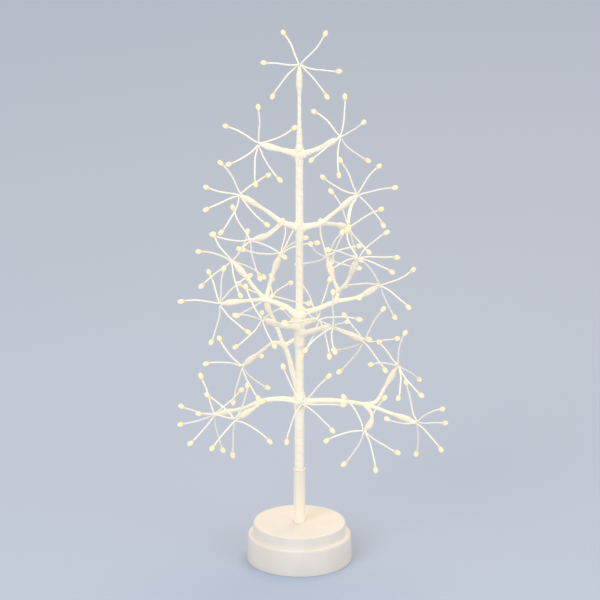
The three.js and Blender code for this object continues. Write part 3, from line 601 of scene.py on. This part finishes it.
def buildSleeve():
    low, high = tree["trunkFoot"], tree["sleeveTop"]
    lipTop = high - sleeve["rim"]
    lipFoot = lipTop - sleeve["lipWidth"]
    piece = addRod((0, 0), sleeve["radius"], low, high, sleeve["sides"])
    edit(piece)
    for height in (lipFoot, lipTop):
        selectAll()
        bpy.ops.mesh.bisect(plane_co=(0, 0, height * mm), plane_no=(0, 0, 1))
    pick(piece, lambda c, n: abs(n.z) < 0.2 and lipFoot < c.z < lipTop)
    bpy.ops.mesh.extrude_region_shrink_fatten(
        TRANSFORM_OT_shrink_fatten={"value": sleeve["lip"] * mm})
    # the bore
    pick(piece, lambda c, n: n.z > 0.9 and c.z > high - 0.2)
    inset(sleeve["radius"] - sleeve["bore"])
    extrude(low + 1 - high)
    selectAll()
    bpy.ops.mesh.normals_make_consistent(inside=False)
    # the lip's edges and the rim's, outside and in
    pickEdges(piece, lambda a, b: abs(a.z - b.z) < 0.1 and a.z > lipFoot - 0.4
              and math.hypot(a.x, a.y) > sleeve["bore"] - 0.1)
    bevel(sleeve["softEdge"], 3)
    smoothShade(piece, 40)
    finishPiece(piece, "sleeveTube", "sleeve_plastic", "trunk_sleeve")


buildSleeve()
print("base and sleeve done")


# Trunk and limbs

# Pitches are mm of trunk for one turn of the tape; a stub's stations start at the trunk's axis
trunkTape = {
    "sides": 28, "voxel": 0.5, "rounds": 10, "steps": 230, "pitch": 6.5, "stubPitch": 3.2,
    "taper": 6, "stub": [[0, 3.5], [3, 3.5], [7.5, 2.62], [9.6, 2.62], [10.3, 1.9]],
}


def knotStations(height, radius, length, below, above):
    # the tape is thicker over this length, where limbs join
    low, high = around(height, length / 2)
    return [[low - trunkTape["taper"], below], [low, radius],
            [high, radius], [high + trunkTape["taper"], above]]


def trunkStations():
    # [height, radius] of the taped trunk before the stubs join it
    end = tree["crownHub"] - tree["knotClear"]
    return [
        [tree["trunkFoot"], 3.7], [tree["sleeveTop"] + 0.6, 3.75], [tree["sleeveTop"] + 2.6, 3.98],
        *knotStations(levels[1], 4.75, 8, 3.95, 3.45),
        *knotStations(levels[2] - 8, 4.65, 24, 3.45, 3.1),
        *knotStations(levels[3], 3.5, 7, 3.1, 3.1),
        *knotStations(levels[4] - 1, 3.65, 6, 3.1, 2.6),
        [levels[4] + 28, 1.6], [end - 22, 1.58], [end - 14, 2.6], [end - 6, 2.62],
        [end, 1.5], [end + 1.2, 1.3],
    ]


def limbRoots():
    # each limb's place on the trunk's axis, its direction, and the pivot at its stub's end
    found = {}
    for name, level, root, twigs in limbs:
        lift = Vector((0, 0, levels[level]))
        knot = lift + Vector((0, 0, root))
        outward = (Vector(twigs[0][1][0]) + lift - knot).normalized()
        found[name] = (knot, outward, knot + outward * tree["stubLength"])
    return found


def buildTaped(tubes, strands, tape, name, node, body):
    # the joined tubes become one skin, and its creases fill in as under tape
    piece = layTubes(tubes, tape["sides"])
    modify(piece, "REMESH", mode="VOXEL", voxel_size=tape["voxel"] * mm, use_smooth_shade=True)
    modify(piece, "SMOOTH", factor=0.5, iterations=tape["rounds"])
    windTape(piece, strands)
    bpy.ops.object.shade_smooth()
    finishPiece(piece, name, "paper_tape", node, body)


def buildTrunk():
    stations = trunkStations()
    heights = np.linspace(stations[0][0], stations[-1][0], trunkTape["steps"])
    points = np.stack([heights * 0, heights * 0, heights], axis=1)
    # the bundle under the tape is a little lumpy
    lump = 1 + 0.012 * np.sin(heights / 5.3) + 0.01 * np.sin(heights / 2.9 + 1)
    tubes = [(points, softly(heights, stations) * lump)]
    strands = [(points, heights / trunkTape["pitch"])]
    for knot, outward, _ in roots.values():
        along = np.linspace(0, tree["stubLength"] + 1.3, 13)
        stub = np.array([knot + outward * s for s in along])
        tubes.append((stub, softly(along, trunkTape["stub"])))
        # a stub's first steps lie inside the trunk, under the trunk's own turns
        strands.append((stub[5:], along[5:] / trunkTape["stubPitch"]))
    buildTaped(tubes, strands, trunkTape, "trunkTape", "trunk_binding", "base")


roots = limbRoots()
buildTrunk()
print("trunk wound")

# A twig starts at the limb's root or at a fork, and swells over its wires' joints before the hub;
# its tape ends this far short of the hub
limbTape = {
    "sides": 16, "voxel": 0.36, "rounds": 5, "spacing": 1.0, "pitch": 3.4, "swellPitch": 2.0,
    "root": [[0, 1.9], [1.2, 2.3], [5, 2.28]], "fork": [[0, 2.3], [4.5, 1.7]],
    "swellLength": 18.0, "swellRadius": 2.75, "collarRadius": 1.5, "short": 1.5,
}


def twigTube(route, atRoot):
    points, at = smoothPath(route, limbTape["spacing"])
    end = at[-1] - limbTape["short"]
    swell = min(limbTape["swellLength"], (end - 4) * 0.9)
    wide, collar = limbTape["swellRadius"], limbTape["collarRadius"]
    stations = [*limbTape["root" if atRoot else "fork"]]
    body = end - swell - stations[-1][0]
    if body > 3:
        # a long stretch thins down to the twig's own radius, a short one has no room to
        stocky = (tree["limbRadius"] if atRoot else tree["twigRadius"]) * 0.9
        stations.append([end - swell, tree["twigRadius"] if body > 14 else stocky])
    stations += [[end - swell * 0.52, wide], [end - swell * 0.30, wide * 0.98],
                 [end - 1.6, collar + 0.1], [end, collar]]
    kept = at <= end + 0.5
    points, at = points[kept], at[kept]
    # each twig is lumpy in its own way, set by where it starts
    seed = points[0].sum()
    lump = 1 + 0.03 * np.sin(at / 2.1 + seed) + 0.02 * np.sin(at / 1.27 + 2 * seed)
    swelling = np.clip((at - (end - swell)) / 4, 0, 1)
    pitch = limbTape["pitch"] + (limbTape["swellPitch"] - limbTape["pitch"]) * swelling
    turns = np.concatenate([[0], np.cumsum(np.diff(at) / pitch[1:])])
    return points, softly(at, stations) * lump, turns


def buildLimb(name, level, twigs):
    lift = Vector((0, 0, levels[level]))
    _, outward, pivot = roots[name]
    routes = [[Vector(p) + lift for p in path] for _, path, _ in twigs]
    routes[0] = [pivot - outward * tree["limbRadius"], pivot, *routes[0]]
    wound = [twigTube(route, order == 0) for order, route in enumerate(routes)]
    tubes = [(points, radii) for points, radii, _ in wound]
    strands = [(points, turns) for points, _, turns in wound]
    buildTaped(tubes, strands, limbTape, name + "Tape", name, name)
    return [(node, route[-2], route[-1], wires) for (node, _, wires), route in zip(twigs, routes)]


# Sprays of wires and lights

# A wire's collar is [mm back along the twig, mm aside]: out of the taped end beside its neighbours,
# then a tight bend onto its own line. Its stations are shares of its reach. It bows towards a place
# at bowAt and sways until calmEnd, also shares, by up to these mm.
spray = {
    "reach": 33.0, "wireRadius": 0.68, "sides": 8, "spacing": 2.6, "hubRadius": 1.104,
    "collar": [[4.2, 0.45], [2.2, 0.75], [-0.2, 1.1]],
    "stations": [0.14, 0.26, 0.4, 0.55, 0.7, 0.84, 0.93],
    "bow": 2.1, "bowAt": 0.55, "sway": 0.4, "calmEnd": 0.86,
}
# The profile is [share of half the length, radius in mm], from the wire's end to the tip;
# a wire ends inside the neck, this share of the drop's length from its middle
drop = {
    "length": 7.2, "radius": 2.02, "segments": 8, "rings": 6, "wireShare": 0.36,
    "profile": [[-1, 0.45], [-0.9, 0.68], [-0.5, 1.1312], [0.05, 1.9392], [0.25, 2.02],
                [0.62, 1.7776], [0.92, 0.909], [1, 0]],
}


def modelDrop():
    # a sphere drawn out along Z: its wire end at the bottom is a neck, and its belly is near the tip
    deselectAll()
    bpy.ops.mesh.primitive_uv_sphere_add(
        segments=drop["segments"], ring_count=drop["rings"], radius=drop["radius"] * mm)
    piece = bpy.context.object
    half = drop["length"] / 2
    edit(piece)
    selectAll()
    bpy.ops.transform.resize(value=(1, 1, half / drop["radius"]))
    selectOnly(piece)
    for vertex in piece.data.vertices:
        wide = math.hypot(vertex.co.x, vertex.co.y) / mm
        if wide > 0.01:
            share = softly(np.array([vertex.co.z / mm / half]), drop["profile"])[0] / wide
            vertex.co.x *= share
            vertex.co.y *= share
    bpy.ops.object.shade_smooth()
    return piece


def wirePath(hub, back, clock, lean, order):
    # the spray's face is tilted to the photograph's line of sight
    tilt = math.radians(tree["faceTilt"])
    right = Vector((1, 0, 0))
    up = Vector((0, math.sin(tilt), math.cos(tilt)))
    front = Vector((0, -math.cos(tilt), math.sin(tilt)))
    turn, pitch = math.radians(clock), math.radians(lean)
    sideways = right * math.cos(turn) - up * math.sin(turn)
    outward = right * math.sin(turn) + up * math.cos(turn)
    along = outward * math.cos(pitch) + front * math.sin(pitch)
    end = hub + along * spray["reach"]
    # the order and the clock angle give each wire its own bow and sway
    bowed = hub + along * spray["reach"] * spray["bowAt"]
    bowed += sideways * 2 * spray["bow"] * math.sin(2.4 * order + clock)
    swing = spray["sway"] * math.cos(1.7 * order + clock)
    root = hub + along * spray["hubRadius"]
    across = (along - back * along.dot(back)).normalized()
    points = [hub + back * behind + across * aside for behind, aside in spray["collar"]]
    for share in spray["stations"]:
        sway = swing * math.sin(2 * math.pi * min(share / spray["calmEnd"], 1))
        points.append(root * (1 - share) ** 2 + bowed * 2 * share * (1 - share) + end * share ** 2
                      + sideways * sway)
    return [*points, end], end, (end - bowed).normalized()


def buildSpray(node, body, before, hub, wires):
    back = (before - hub).normalized()
    tubes, lights = [], []
    for order, (clock, lean) in enumerate(wires):
        points, end, heading = wirePath(hub, back, clock, lean, order)
        line, at = smoothPath(points, spray["spacing"])
        stop = at[-1] - drop["length"] * drop["wireShare"]
        last = [np.interp(stop, at, line[:, k]) for k in range(3)]
        tubes.append((np.vstack([line[at < stop - 1], last]), spray["wireRadius"]))
        turn = Vector((0, 0, 1)).rotation_difference(heading).to_matrix().to_4x4()
        lights.append((end, turn))
    wiring = layTubes(tubes, spray["sides"])
    edit(wiring)
    selectAll()
    bpy.ops.mesh.remove_doubles(threshold=0.01 * mm)
    smoothShade(wiring, 60)
    finishPiece(wiring, node + "Wires", "light_wire", node, body)
    copies = [copyTo(firstDrop, *light) for light in lights]
    finishPiece(joinAll(copies), node + "Lights", "light_bead", node, body)


firstDrop = modelDrop()
for limb, level, _, twigs in limbs:
    for node, before, hub, wires in buildLimb(limb, level, twigs):
        buildSpray(node, limb, before, hub, wires)
crown = Vector((0, 0, tree["crownHub"]))
buildSpray("spray_crown", "base", crown - Vector((0, 0, 3)), crown, crownWires)
bpy.data.objects.remove(firstDrop)
print("limbs and sprays done")


# Underside: battery door, cells, contacts, screws and switch

# Sizes in mm. A slot is half its width and half its length; each tail slot and hook slot is its
# extent along X or beyond the well's end, and its heights.
plate = {
    "radius": 40.1, "low": 1.6, "top": 4.0, "clear": 0.3, "softEdge": 0.21,
    "wellHalfWidth": 22.0, "wellEnd": 28.3, "wellWall": 1.4, "wellCeiling": 17.9, "wellTop": 19.3,
    "doorWidth": 45.8, "doorLength": 58.4, "doorCorner": 4.0, "doorTop": 3.1, "thumbRadius": 6.5,
    "slideX": 30.67, "slot": (1.3, 3.7), "postY": 11.4, "postRadius": 1.6, "postTop": 9.0,
    "tailSlot": (12.8, 16.4), "tailDepth": 1.1, "tailHeights": (16.9, 20.3),
    "hookX": 7.3, "hookSlot": (2.4, 1.0), "hookHalf": 2.3, "hookHeights": (4.0, 8.0),
    "screws": [(-31.75, 0), (29.49, 18.5), (29.49, -18.5)], "screwHole": 1.65,
    "headHole": 3.15, "headHoleTop": 3.2,
}


def roundedSlab(width, length, corner, low, high):
    piece = addBlock(around(0, width / 2), around(0, length / 2), (low, high))
    edit(piece)
    pickEdges(piece, lambda a, b: abs(a.z - b.z) > 0.5)
    bevel(corner, 8)
    return piece


def buildPlate():
    p, clear = plate, plate["clear"]
    wide, end, wall, x = p["wellHalfWidth"], p["wellEnd"], p["wellWall"], p["slideX"]
    piece = addRod((0, 0), p["radius"], p["low"], p["top"], 96)
    outer = addBlock(around(0, wide + wall), around(0, end + wall), (p["top"] - 1, p["wellTop"]))
    posts = [addRod((x, y), p["postRadius"], p["top"] - 1, p["postTop"], 20)
             for y in around(0, p["postY"])]
    reshape(piece, [outer, *posts], "UNION")
    through = p["top"] + 1
    cuts = [
        addBlock(around(0, wide), around(0, end), (0, p["wellCeiling"])),
        roundedSlab(p["doorWidth"] + 2 * clear, p["doorLength"] + 2 * clear,
                    p["doorCorner"] + clear, 0, p["doorTop"] + clear),
        addBlock(around(x, p["slot"][0]), around(0, p["slot"][1]), (0, through)),
        addRod((0, p["doorLength"] / 2 + clear), p["thumbRadius"], 0, p["doorTop"], 48),
    ]
    # the tails of the two outer contacts come up at opposite corners of the well
    for side in (-1, 1):
        cuts.append(addBlock(sorted(side * edge for edge in p["tailSlot"]),
                             sorted((side * (end - p["tailDepth"]), side * end)), p["tailHeights"]))
    beyond, inside = p["hookSlot"]
    cuts += [addBlock(around(hook, p["hookHalf"]), (-end - beyond, -end + inside), p["hookHeights"])
             for hook in around(0, p["hookX"])]
    for place in p["screws"]:
        cuts += [addRod(place, p["screwHole"], 0, through, 24),
                 addRod(place, p["headHole"], 0, p["headHoleTop"])]
    reshape(piece, cuts)
    soften(piece, p["softEdge"])
    finishPiece(piece, "plateShell", "base_plastic", "base_plate")


buildPlate()

# Upright, hook and rib are extents along Y and Z in mm, and the lug's are along X too
batteryDoor = {
    "softEdge": 0.3, "grooves": (23.2, 20.8, 18.4), "grooveReach": 8, "grooveWidth": 1.0,
    "grooveDepth": 0.5, "hookHalf": 2.0, "upright": ((-28.0, -26.6), (2.6, 5.4)),
    "hook": ((-31.8, -27.0), (4.3, 5.4)), "lug": ((-5, 5), (26.4, 28.0), (2.6, 5.0)),
    "ribHalf": 0.4, "rib": ((-20, 20), (2.8, 3.35)),
}


def buildDoor():
    p, d = plate, batteryDoor
    piece = roundedSlab(p["doorWidth"], p["doorLength"], p["doorCorner"], p["low"], p["doorTop"])
    soften(piece, d["softEdge"])
    # grip lines under the thumb
    reshape(piece, [addBlock(around(0, d["grooveReach"]), around(y, d["grooveWidth"] / 2),
                             (0, p["low"] + d["grooveDepth"])) for y in d["grooves"]])
    smoothShade(piece, 35)
    parts = [piece]
    for x in around(0, p["hookX"]):
        across = around(x, d["hookHalf"])
        upright, hook = [addBlock(across, *d[name]) for name in ("upright", "hook")]
        parts.append(soften(reshape(upright, [hook], "UNION"), 0.2))
    parts.append(soften(addBlock(*d["lug"]), 0.4, 3))
    # two ribs stiffen the door between the cells
    for x in around(0, p["hookX"]):
        parts.append(soften(addBlock(around(x, d["ribHalf"]), *d["rib"]), 0.12))
    finishPiece(joinAll(parts), "doorPanel", "base_plastic", "battery_door", "door")


buildDoor()
print("plate and door done")

cell = {"radius": 7.1, "length": 49.2, "nubRadius": 2.7, "nub": 1.0, "pitch": 14.6, "axis": 10.5,
        "shift": 1.6, "lip": 0.8, "plusSunk": 0.3, "minusSunk": 0.25, "softEdge": 0.45, "sides": 40}


def cellX(order):
    return (order - 1) * cell["pitch"]


def buildCells():
    half, radius, lip = cell["length"] / 2, cell["radius"], cell["lip"]
    first = addRod((0, 0), radius, -half, half, cell["sides"])
    edit(first)
    # the jacket's rolled lip stands round a sunk steel end, with the nub in the middle of the plus end
    pick(first, lambda c, n: n.z > 0.9)
    inset(lip)
    extrude(-cell["plusSunk"])
    inset(radius - lip - cell["nubRadius"])
    extrude(cell["nub"] + cell["plusSunk"])
    pick(first, lambda c, n: n.z < -0.9)
    inset(lip)
    extrude(cell["minusSunk"])
    # the rims of the jacket and of the nub
    pickEdges(first, lambda a, b: abs(a.z - b.z) < 0.1 and (
        abs(math.hypot(a.x, a.y) - radius) < 0.1 or (a.z > half + 0.5 and math.hypot(a.x, a.y) > 2)))
    bevel(cell["softEdge"], 3)
    smoothShade(first, 38)
    # the jacket's band reads how far along the cell it is
    along = first.data.attributes.new("along", "FLOAT", "POINT")
    along.data.foreach_set("value", [vertex.co.z / mm / cell["length"] + 0.5
                                     for vertex in first.data.vertices])
    steelFaces = [i for i, face in enumerate(first.data.polygons)
                  if math.hypot(*face.center[:2]) / mm < radius - lip - 0.05]
    # the cells lie side by side, and their plus ends point to the back, the front and the back
    for order, end in enumerate((1, -1, 1)):
        place = (cellX(order), end * cell["shift"], cell["axis"])
        piece = copyTo(first, place, Matrix.Rotation(math.radians(-90 * end), 4, "X"))
        finishPiece(piece, f"cellCan{order + 1}", "battery_jacket", f"battery_cell_{order + 1}")
        piece.data.materials.append(materials["screw_steel"])
        for i in steelFaces:
            piece.data.polygons[i].material_index = 1
    bpy.data.objects.remove(first)


buildCells()

contact = {"halfWidth": 4.5, "low": 6.0, "thick": 0.5, "inner": 27.5, "tail": 20.9, "tailHalf": 1.5,
           "softEdge": 0.12, "coilWire": 0.28, "coilWide": 3.0, "coilTip": 1.5, "coilTurns": 4.5,
           "coilSteps": 14, "coilLength": 4.1}
# [node, piece, its end of the well, cells that it touches, the cell at its spring, the one at its tail]
contacts = [
    ["contact_negative", "contactMinus", -1, [0], 0, 0],
    ["contact_bridge_rear", "contactRear", 1, [0, 1], 1, None],
    ["contact_bridge_front", "contactFront", -1, [1, 2], 2, None],
    ["contact_positive", "contactPlus", 1, [2], None, 2],
]


def coilSpring(x, end):
    # a conical spring from the strip towards the cell, with a flat turn at either end
    turns = np.linspace(0, 1, int(contact["coilTurns"] * contact["coilSteps"]) + 1)
    ring = contact["coilWide"] + (contact["coilTip"] - contact["coilWide"]) * turns
    angle = turns * contact["coilTurns"] * 2 * math.pi
    flat = 0.08
    rise = np.clip((turns - flat) / (1 - 2 * flat), 0, 1) * (contact["coilLength"] - 0.5) + 0.2
    points = np.stack([x + ring * np.cos(angle), end * (contact["inner"] - rise),
                       cell["axis"] + ring * np.sin(angle)], axis=1)
    return layTubes([(points, contact["coilWire"])], 8)


def buildContact(node, name, end, cells, springAt, tailAt):
    half, low, top = contact["halfWidth"], contact["low"], contact["low"] + 2 * contact["halfWidth"]
    thick = sorted((end * contact["inner"], end * (contact["inner"] + contact["thick"])))
    strip = addBlock((cellX(cells[0]) - half, cellX(cells[-1]) + half), thick, (low, top))
    if tailAt is not None:
        tail = addBlock(around(cellX(tailAt), contact["tailHalf"]), thick, (top - 1, contact["tail"]))
        reshape(strip, [tail], "UNION")
    parts = [soften(strip, contact["softEdge"])]
    if springAt is not None:
        parts.append(coilSpring(cellX(springAt), end))
    finishPiece(joinAll(parts), name, "spring_metal", node)


for row in contacts:
    buildContact(*row)

# The driver meets the face at "head", and the plate meets "seat"
screw = {"headRadius": 2.7, "head": 1.9, "seat": 2.9, "rim": 0.6, "shank": 1.1, "length": 9.0,
         "slot": 0.62, "slotReach": 1.5, "slotDepth": 0.65, "turns": 8, "turnSteps": 12,
         "thread": 0.2, "threadEnd": 0.12}


def buildScrews():
    head, seat, radius = screw["head"], screw["seat"], screw["shank"]
    first = addRod((0, 0), screw["headRadius"], head, seat)
    edit(first)
    # a pan head: the rim of the driver's face is rounded
    pickEdges(first, lambda a, b: a.z < head + 0.1 and b.z < head + 0.1)
    bevel(screw["rim"], 4)
    arm, reach = around(0, screw["slot"] / 2), around(0, screw["slotReach"])
    deep = (head - 1, head + screw["slotDepth"])
    reshape(first, [addBlock(reach, arm, deep), addBlock(arm, reach, deep)])
    smoothShade(first, 40)
    # a thread wound on the shank, under the head and out of sight once driven home
    shank = addRod((0, 0), radius - 0.22, seat - 0.3, seat + screw["length"] - 1.2, 16)
    smoothShade(shank, 40)
    turns = np.linspace(0, 1, screw["turns"] * screw["turnSteps"] + 1)
    ring = (radius - screw["thread"]) * np.clip((1 - turns) / screw["threadEnd"], 0.15, 1)
    angle = turns * screw["turns"] * 2 * math.pi
    rise = seat + 0.3 + turns * (screw["length"] - 0.7)
    points = np.stack([ring * np.cos(angle), ring * np.sin(angle), rise], axis=1)
    whole = joinAll([first, shank, layTubes([(points, screw["thread"])], 6)])
    for order, (x, y) in enumerate(plate["screws"]):
        # the recesses stop at angles of their own
        piece = copyTo(whole, (x, y, 0), Matrix.Rotation(0.7 + order, 4, "Z"))
        finishPiece(piece, f"panScrew{order + 1}", "screw_steel", f"plate_screw_{order + 1}")
    bpy.data.objects.remove(whole)


buildScrews()

slide = {"halfWidth": 1.0, "halfLength": 1.4, "tip": 0.9, "foot": 4.3, "footTop": 6.5, "flange": 0.7,
         "ridges": (-0.75, 0, 0.75), "ridgeWidth": 0.4, "ridgeDepth": 0.4, "softEdge": 0.2}
# Each word is raised beside the slot, at this place from the slot's middle in mm
words = {"size": 2.4, "raised": 0.12, "sunk": 0.08,
         "places": {"ON": (0, -6.4), "OFF": (5.2, 0), "TIMER": (0, 6.4)}}


def buildSlide():
    x, tip, edge = plate["slideX"], slide["tip"], slide["flange"]
    half, reach = slide["halfWidth"], slide["halfLength"]
    stem = addBlock(around(x, half), around(0, reach), (tip, slide["foot"] + 0.5))
    soften(stem, slide["softEdge"])
    reshape(stem, [addBlock(around(x, 2 * half), around(y, slide["ridgeWidth"] / 2),
                            (0, tip + slide["ridgeDepth"])) for y in slide["ridges"]])
    foot = addBlock(around(x, half + edge), around(0, reach + edge), (slide["foot"], slide["footTop"]))
    finishPiece(joinAll([stem, soften(foot, slide["softEdge"])]), "slideKnob", "switch_plastic",
                "switch_knob", "switch_slider")


def buildWords():
    labels = []
    for word, (aside, along) in words["places"].items():
        deselectAll()
        bpy.ops.object.text_add(location=(0, 0, 0))
        label = bpy.context.object
        label.data.body = word
        label.data.size = words["size"] * mm
        label.data.extrude = words["raised"] * mm
        label.data.align_x = label.data.align_y = "CENTER"
        bpy.ops.object.convert(target="MESH")
        # turned over, so that they read from underneath
        turn = Matrix.Rotation(math.pi, 4, "X")
        low = Vector((plate["slideX"] + aside, along, plate["low"] - words["sunk"])) * mm
        bpy.context.object.data.transform(Matrix.Translation(low) @ turn)
        labels.append(bpy.context.object)
    finishPiece(joinAll(labels), "slideWords", "base_plastic", None)


buildSlide()
buildWords()

# The board's sizes in mm; chip, legs and can are placed from the slide's middle
board = {
    "top": 10.5, "thick": 1.2, "half": (5.2, 13), "chip": ((-3.4, 0.6), (-8, -3)), "chipTop": 1.6,
    "legs": ((-3.6, 1.0), (-7.4, -6.13, -4.87, -3.6)), "legHalf": (0.4, 0.2), "legTop": 0.6,
    "can": (1, 8), "canRadius": 2.2, "canTop": 6, "canRim": 0.4, "canSunk": 0.2,
}
# The leads pass under the base's roof, past the board's edge, and down to it
lead = {"radius": 0.75, "edge": 26.97, "roof": 20.35, "tailY": 27.75, "solder": 0.3}


def buildLeads():
    edge, roof, tailY, solder = lead["edge"], lead["roof"], lead["tailY"], lead["solder"]
    landing, foot = board["top"] + solder, tree["trunkFoot"] - solder
    tail, pitch = contact["tail"] + solder, cell["pitch"]
    for node, name, slot, points in (
            ("light_lead", "leadToLights", "light_wire", [
                (0, 0, foot), (0, 0, foot - 1.3), (2.4, 0, roof + 0.9), (18, 0, roof + 0.4),
                (edge - 1.6, 0, roof - 0.2), (edge, 0, roof - 6), (edge, 0, landing)]),
            ("battery_lead_red", "leadPlus", "red_lead", [
                (pitch, tailY, tail), (pitch, tailY, tail + 1.7), (pitch + 4, tailY - 5, tail + 2.2),
                (edge - 1.8, 11.5, roof + 0.5), (edge, 5, roof - 5), (edge, 3.5, landing + 2),
                (edge, 3.5, landing)]),
            ("battery_lead_black", "leadMinus", "black_lead", [
                (-pitch, -tailY, tail), (-pitch, -tailY, tail + 1.7), (2, 9 - tailY, roof + 2),
                (18, -13, roof + 1.5), (edge - 1.3, -11.5, roof - 0.7), (edge, -10.5, roof - 6),
                (edge, -10.5, landing)])):
        route, _ = smoothPath(points, 1.0)
        piece = layTubes([(route, lead["radius"])], 12)
        smoothShade(piece, 50)
        finishPiece(piece, name, slot, node)


def buildBoard():
    x, top = plate["slideX"], board["top"]
    wide, long = board["half"]
    panel = addBlock(around(x, wide), around(0, long), (top - board["thick"], top))
    finishPiece(soften(panel, 0.1, 1), "boardPanel", "circuit_board", "timer_board")
    (left, right), chipY = board["chip"]
    chip = soften(addBlock((x + left, x + right), chipY, (top + 0.1, top + board["chipTop"])), 0.15)
    legHalf = board["legHalf"]
    legs = [addBlock(around(x + legX, legHalf[0]), around(y, legHalf[1]), (top, top + board["legTop"]))
            for legX in board["legs"][0] for y in board["legs"][1]]
    aside, along = board["can"]
    can = addRod((x + aside, along), board["canRadius"], top, top + board["canTop"])
    edit(can)
    pick(can, lambda c, n: n.z > 0.9)
    inset(board["canRim"])
    extrude(-board["canSunk"])
    finishPiece(joinAll([chip, soften(can, 0.15)]), "boardChip", "switch_plastic", None)
    finishPiece(joinAll(legs), "boardLegs", "screw_steel", None)


buildLeads()
buildBoard()
print("underside done")


# The CAD's own pieces keep their shapes and get their finishes

for slot, name in (("steel_rod", "trunk_rod"), ("switch_plastic", "switch_body")):
    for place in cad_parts[name].material_slots:
        place.material = materials[slot]


# Floor, lamps and camera

# Each lamp is (name, place in m, size in m, power in W, tint); all of them face the middle of the tree
studio = {
    "floor": "#AEBBD1", "floorSize": 12, "worldColour": "#FFFFFF", "worldLevel": 0.7,
    "lamps": (("keyLamp", (-1.1, -1.5, 1.5), 1.2, 20.5, "#FFFDF8"),
              ("fillLamp", (1.6, -1.3, 0.8), 1.4, 12, "#FFFFFF"),
              ("topLamp", (0.3, 0.9, 2.1), 1.2, 20, "#FFDCA0")),
    "aim": (0, 0, 0.2), "distance": 8.0, "elevation": 20.4, "lens": 595.4,
    "target": (0.00047, 0, 0.22365),
}


def buildFloor():
    deselectAll()
    bpy.ops.mesh.primitive_plane_add(size=1, location=(0, 0, 0))
    sweep = bpy.context.object
    sweep.name = "studioSweep"
    edit(sweep)
    selectAll()
    bpy.ops.transform.resize(value=(studio["floorSize"], studio["floorSize"], 1))
    selectOnly(sweep)
    # matt paper, with hardly a shine
    material, _, _ = newMaterial("paperSweep", {
        "Base Color": linear(studio["floor"]), "Roughness": 0.9, "Specular IOR Level": 0.1})
    sweep.data.materials.append(material)


def buildWorld():
    world = bpy.data.worlds.new("studioWorld")
    bpy.context.scene.world = world
    world.use_nodes = True
    add = partial(addNode, world.node_tree)
    light = world.node_tree.nodes["Background"]
    feed(light, {0: linear(studio["worldColour"]), 1: studio["worldLevel"]})
    # the camera and mirror-like surfaces see the paper's colour beyond the floor
    shown = add("Background", {0: linear(studio["floor"]), 1: 1.0})
    rays = add("LightPath", {})
    seen = add("Math", {0: rays["Is Camera Ray"], 1: rays["Is Glossy Ray"]}, operation="MAXIMUM")
    both = add("MixShader", {0: seen[0], 1: light.outputs[0], 2: shown[0]})
    feed(world.node_tree.nodes["World Output"], {"Surface": both[0]})


def lookAt(thing, place, target):
    thing.rotation_euler = (Vector(target) - Vector(place)).to_track_quat("-Z", "Y").to_euler()


def addLamps():
    for name, place, size, power, tint in studio["lamps"]:
        bpy.ops.object.light_add(type="AREA", location=place)
        lamp = bpy.context.object
        lamp.name = name
        lamp.data.size = size
        lamp.data.energy = power
        lamp.data.color = linear(tint)[:3]
        lookAt(lamp, place, studio["aim"])


def addCamera():
    lift = math.radians(studio["elevation"])
    target = Vector(studio["target"])
    place = target + Vector((0, -math.cos(lift), math.sin(lift))) * studio["distance"]
    bpy.ops.object.camera_add(location=place)
    camera = bpy.context.object
    lookAt(camera, place, target)
    camera.data.lens = studio["lens"]
    camera.data.clip_end = 60
    bpy.context.scene.camera = camera


buildFloor()
buildWorld()
addLamps()
addCamera()
bpy.context.scene.view_settings.view_transform = "Standard"
print("studio set")
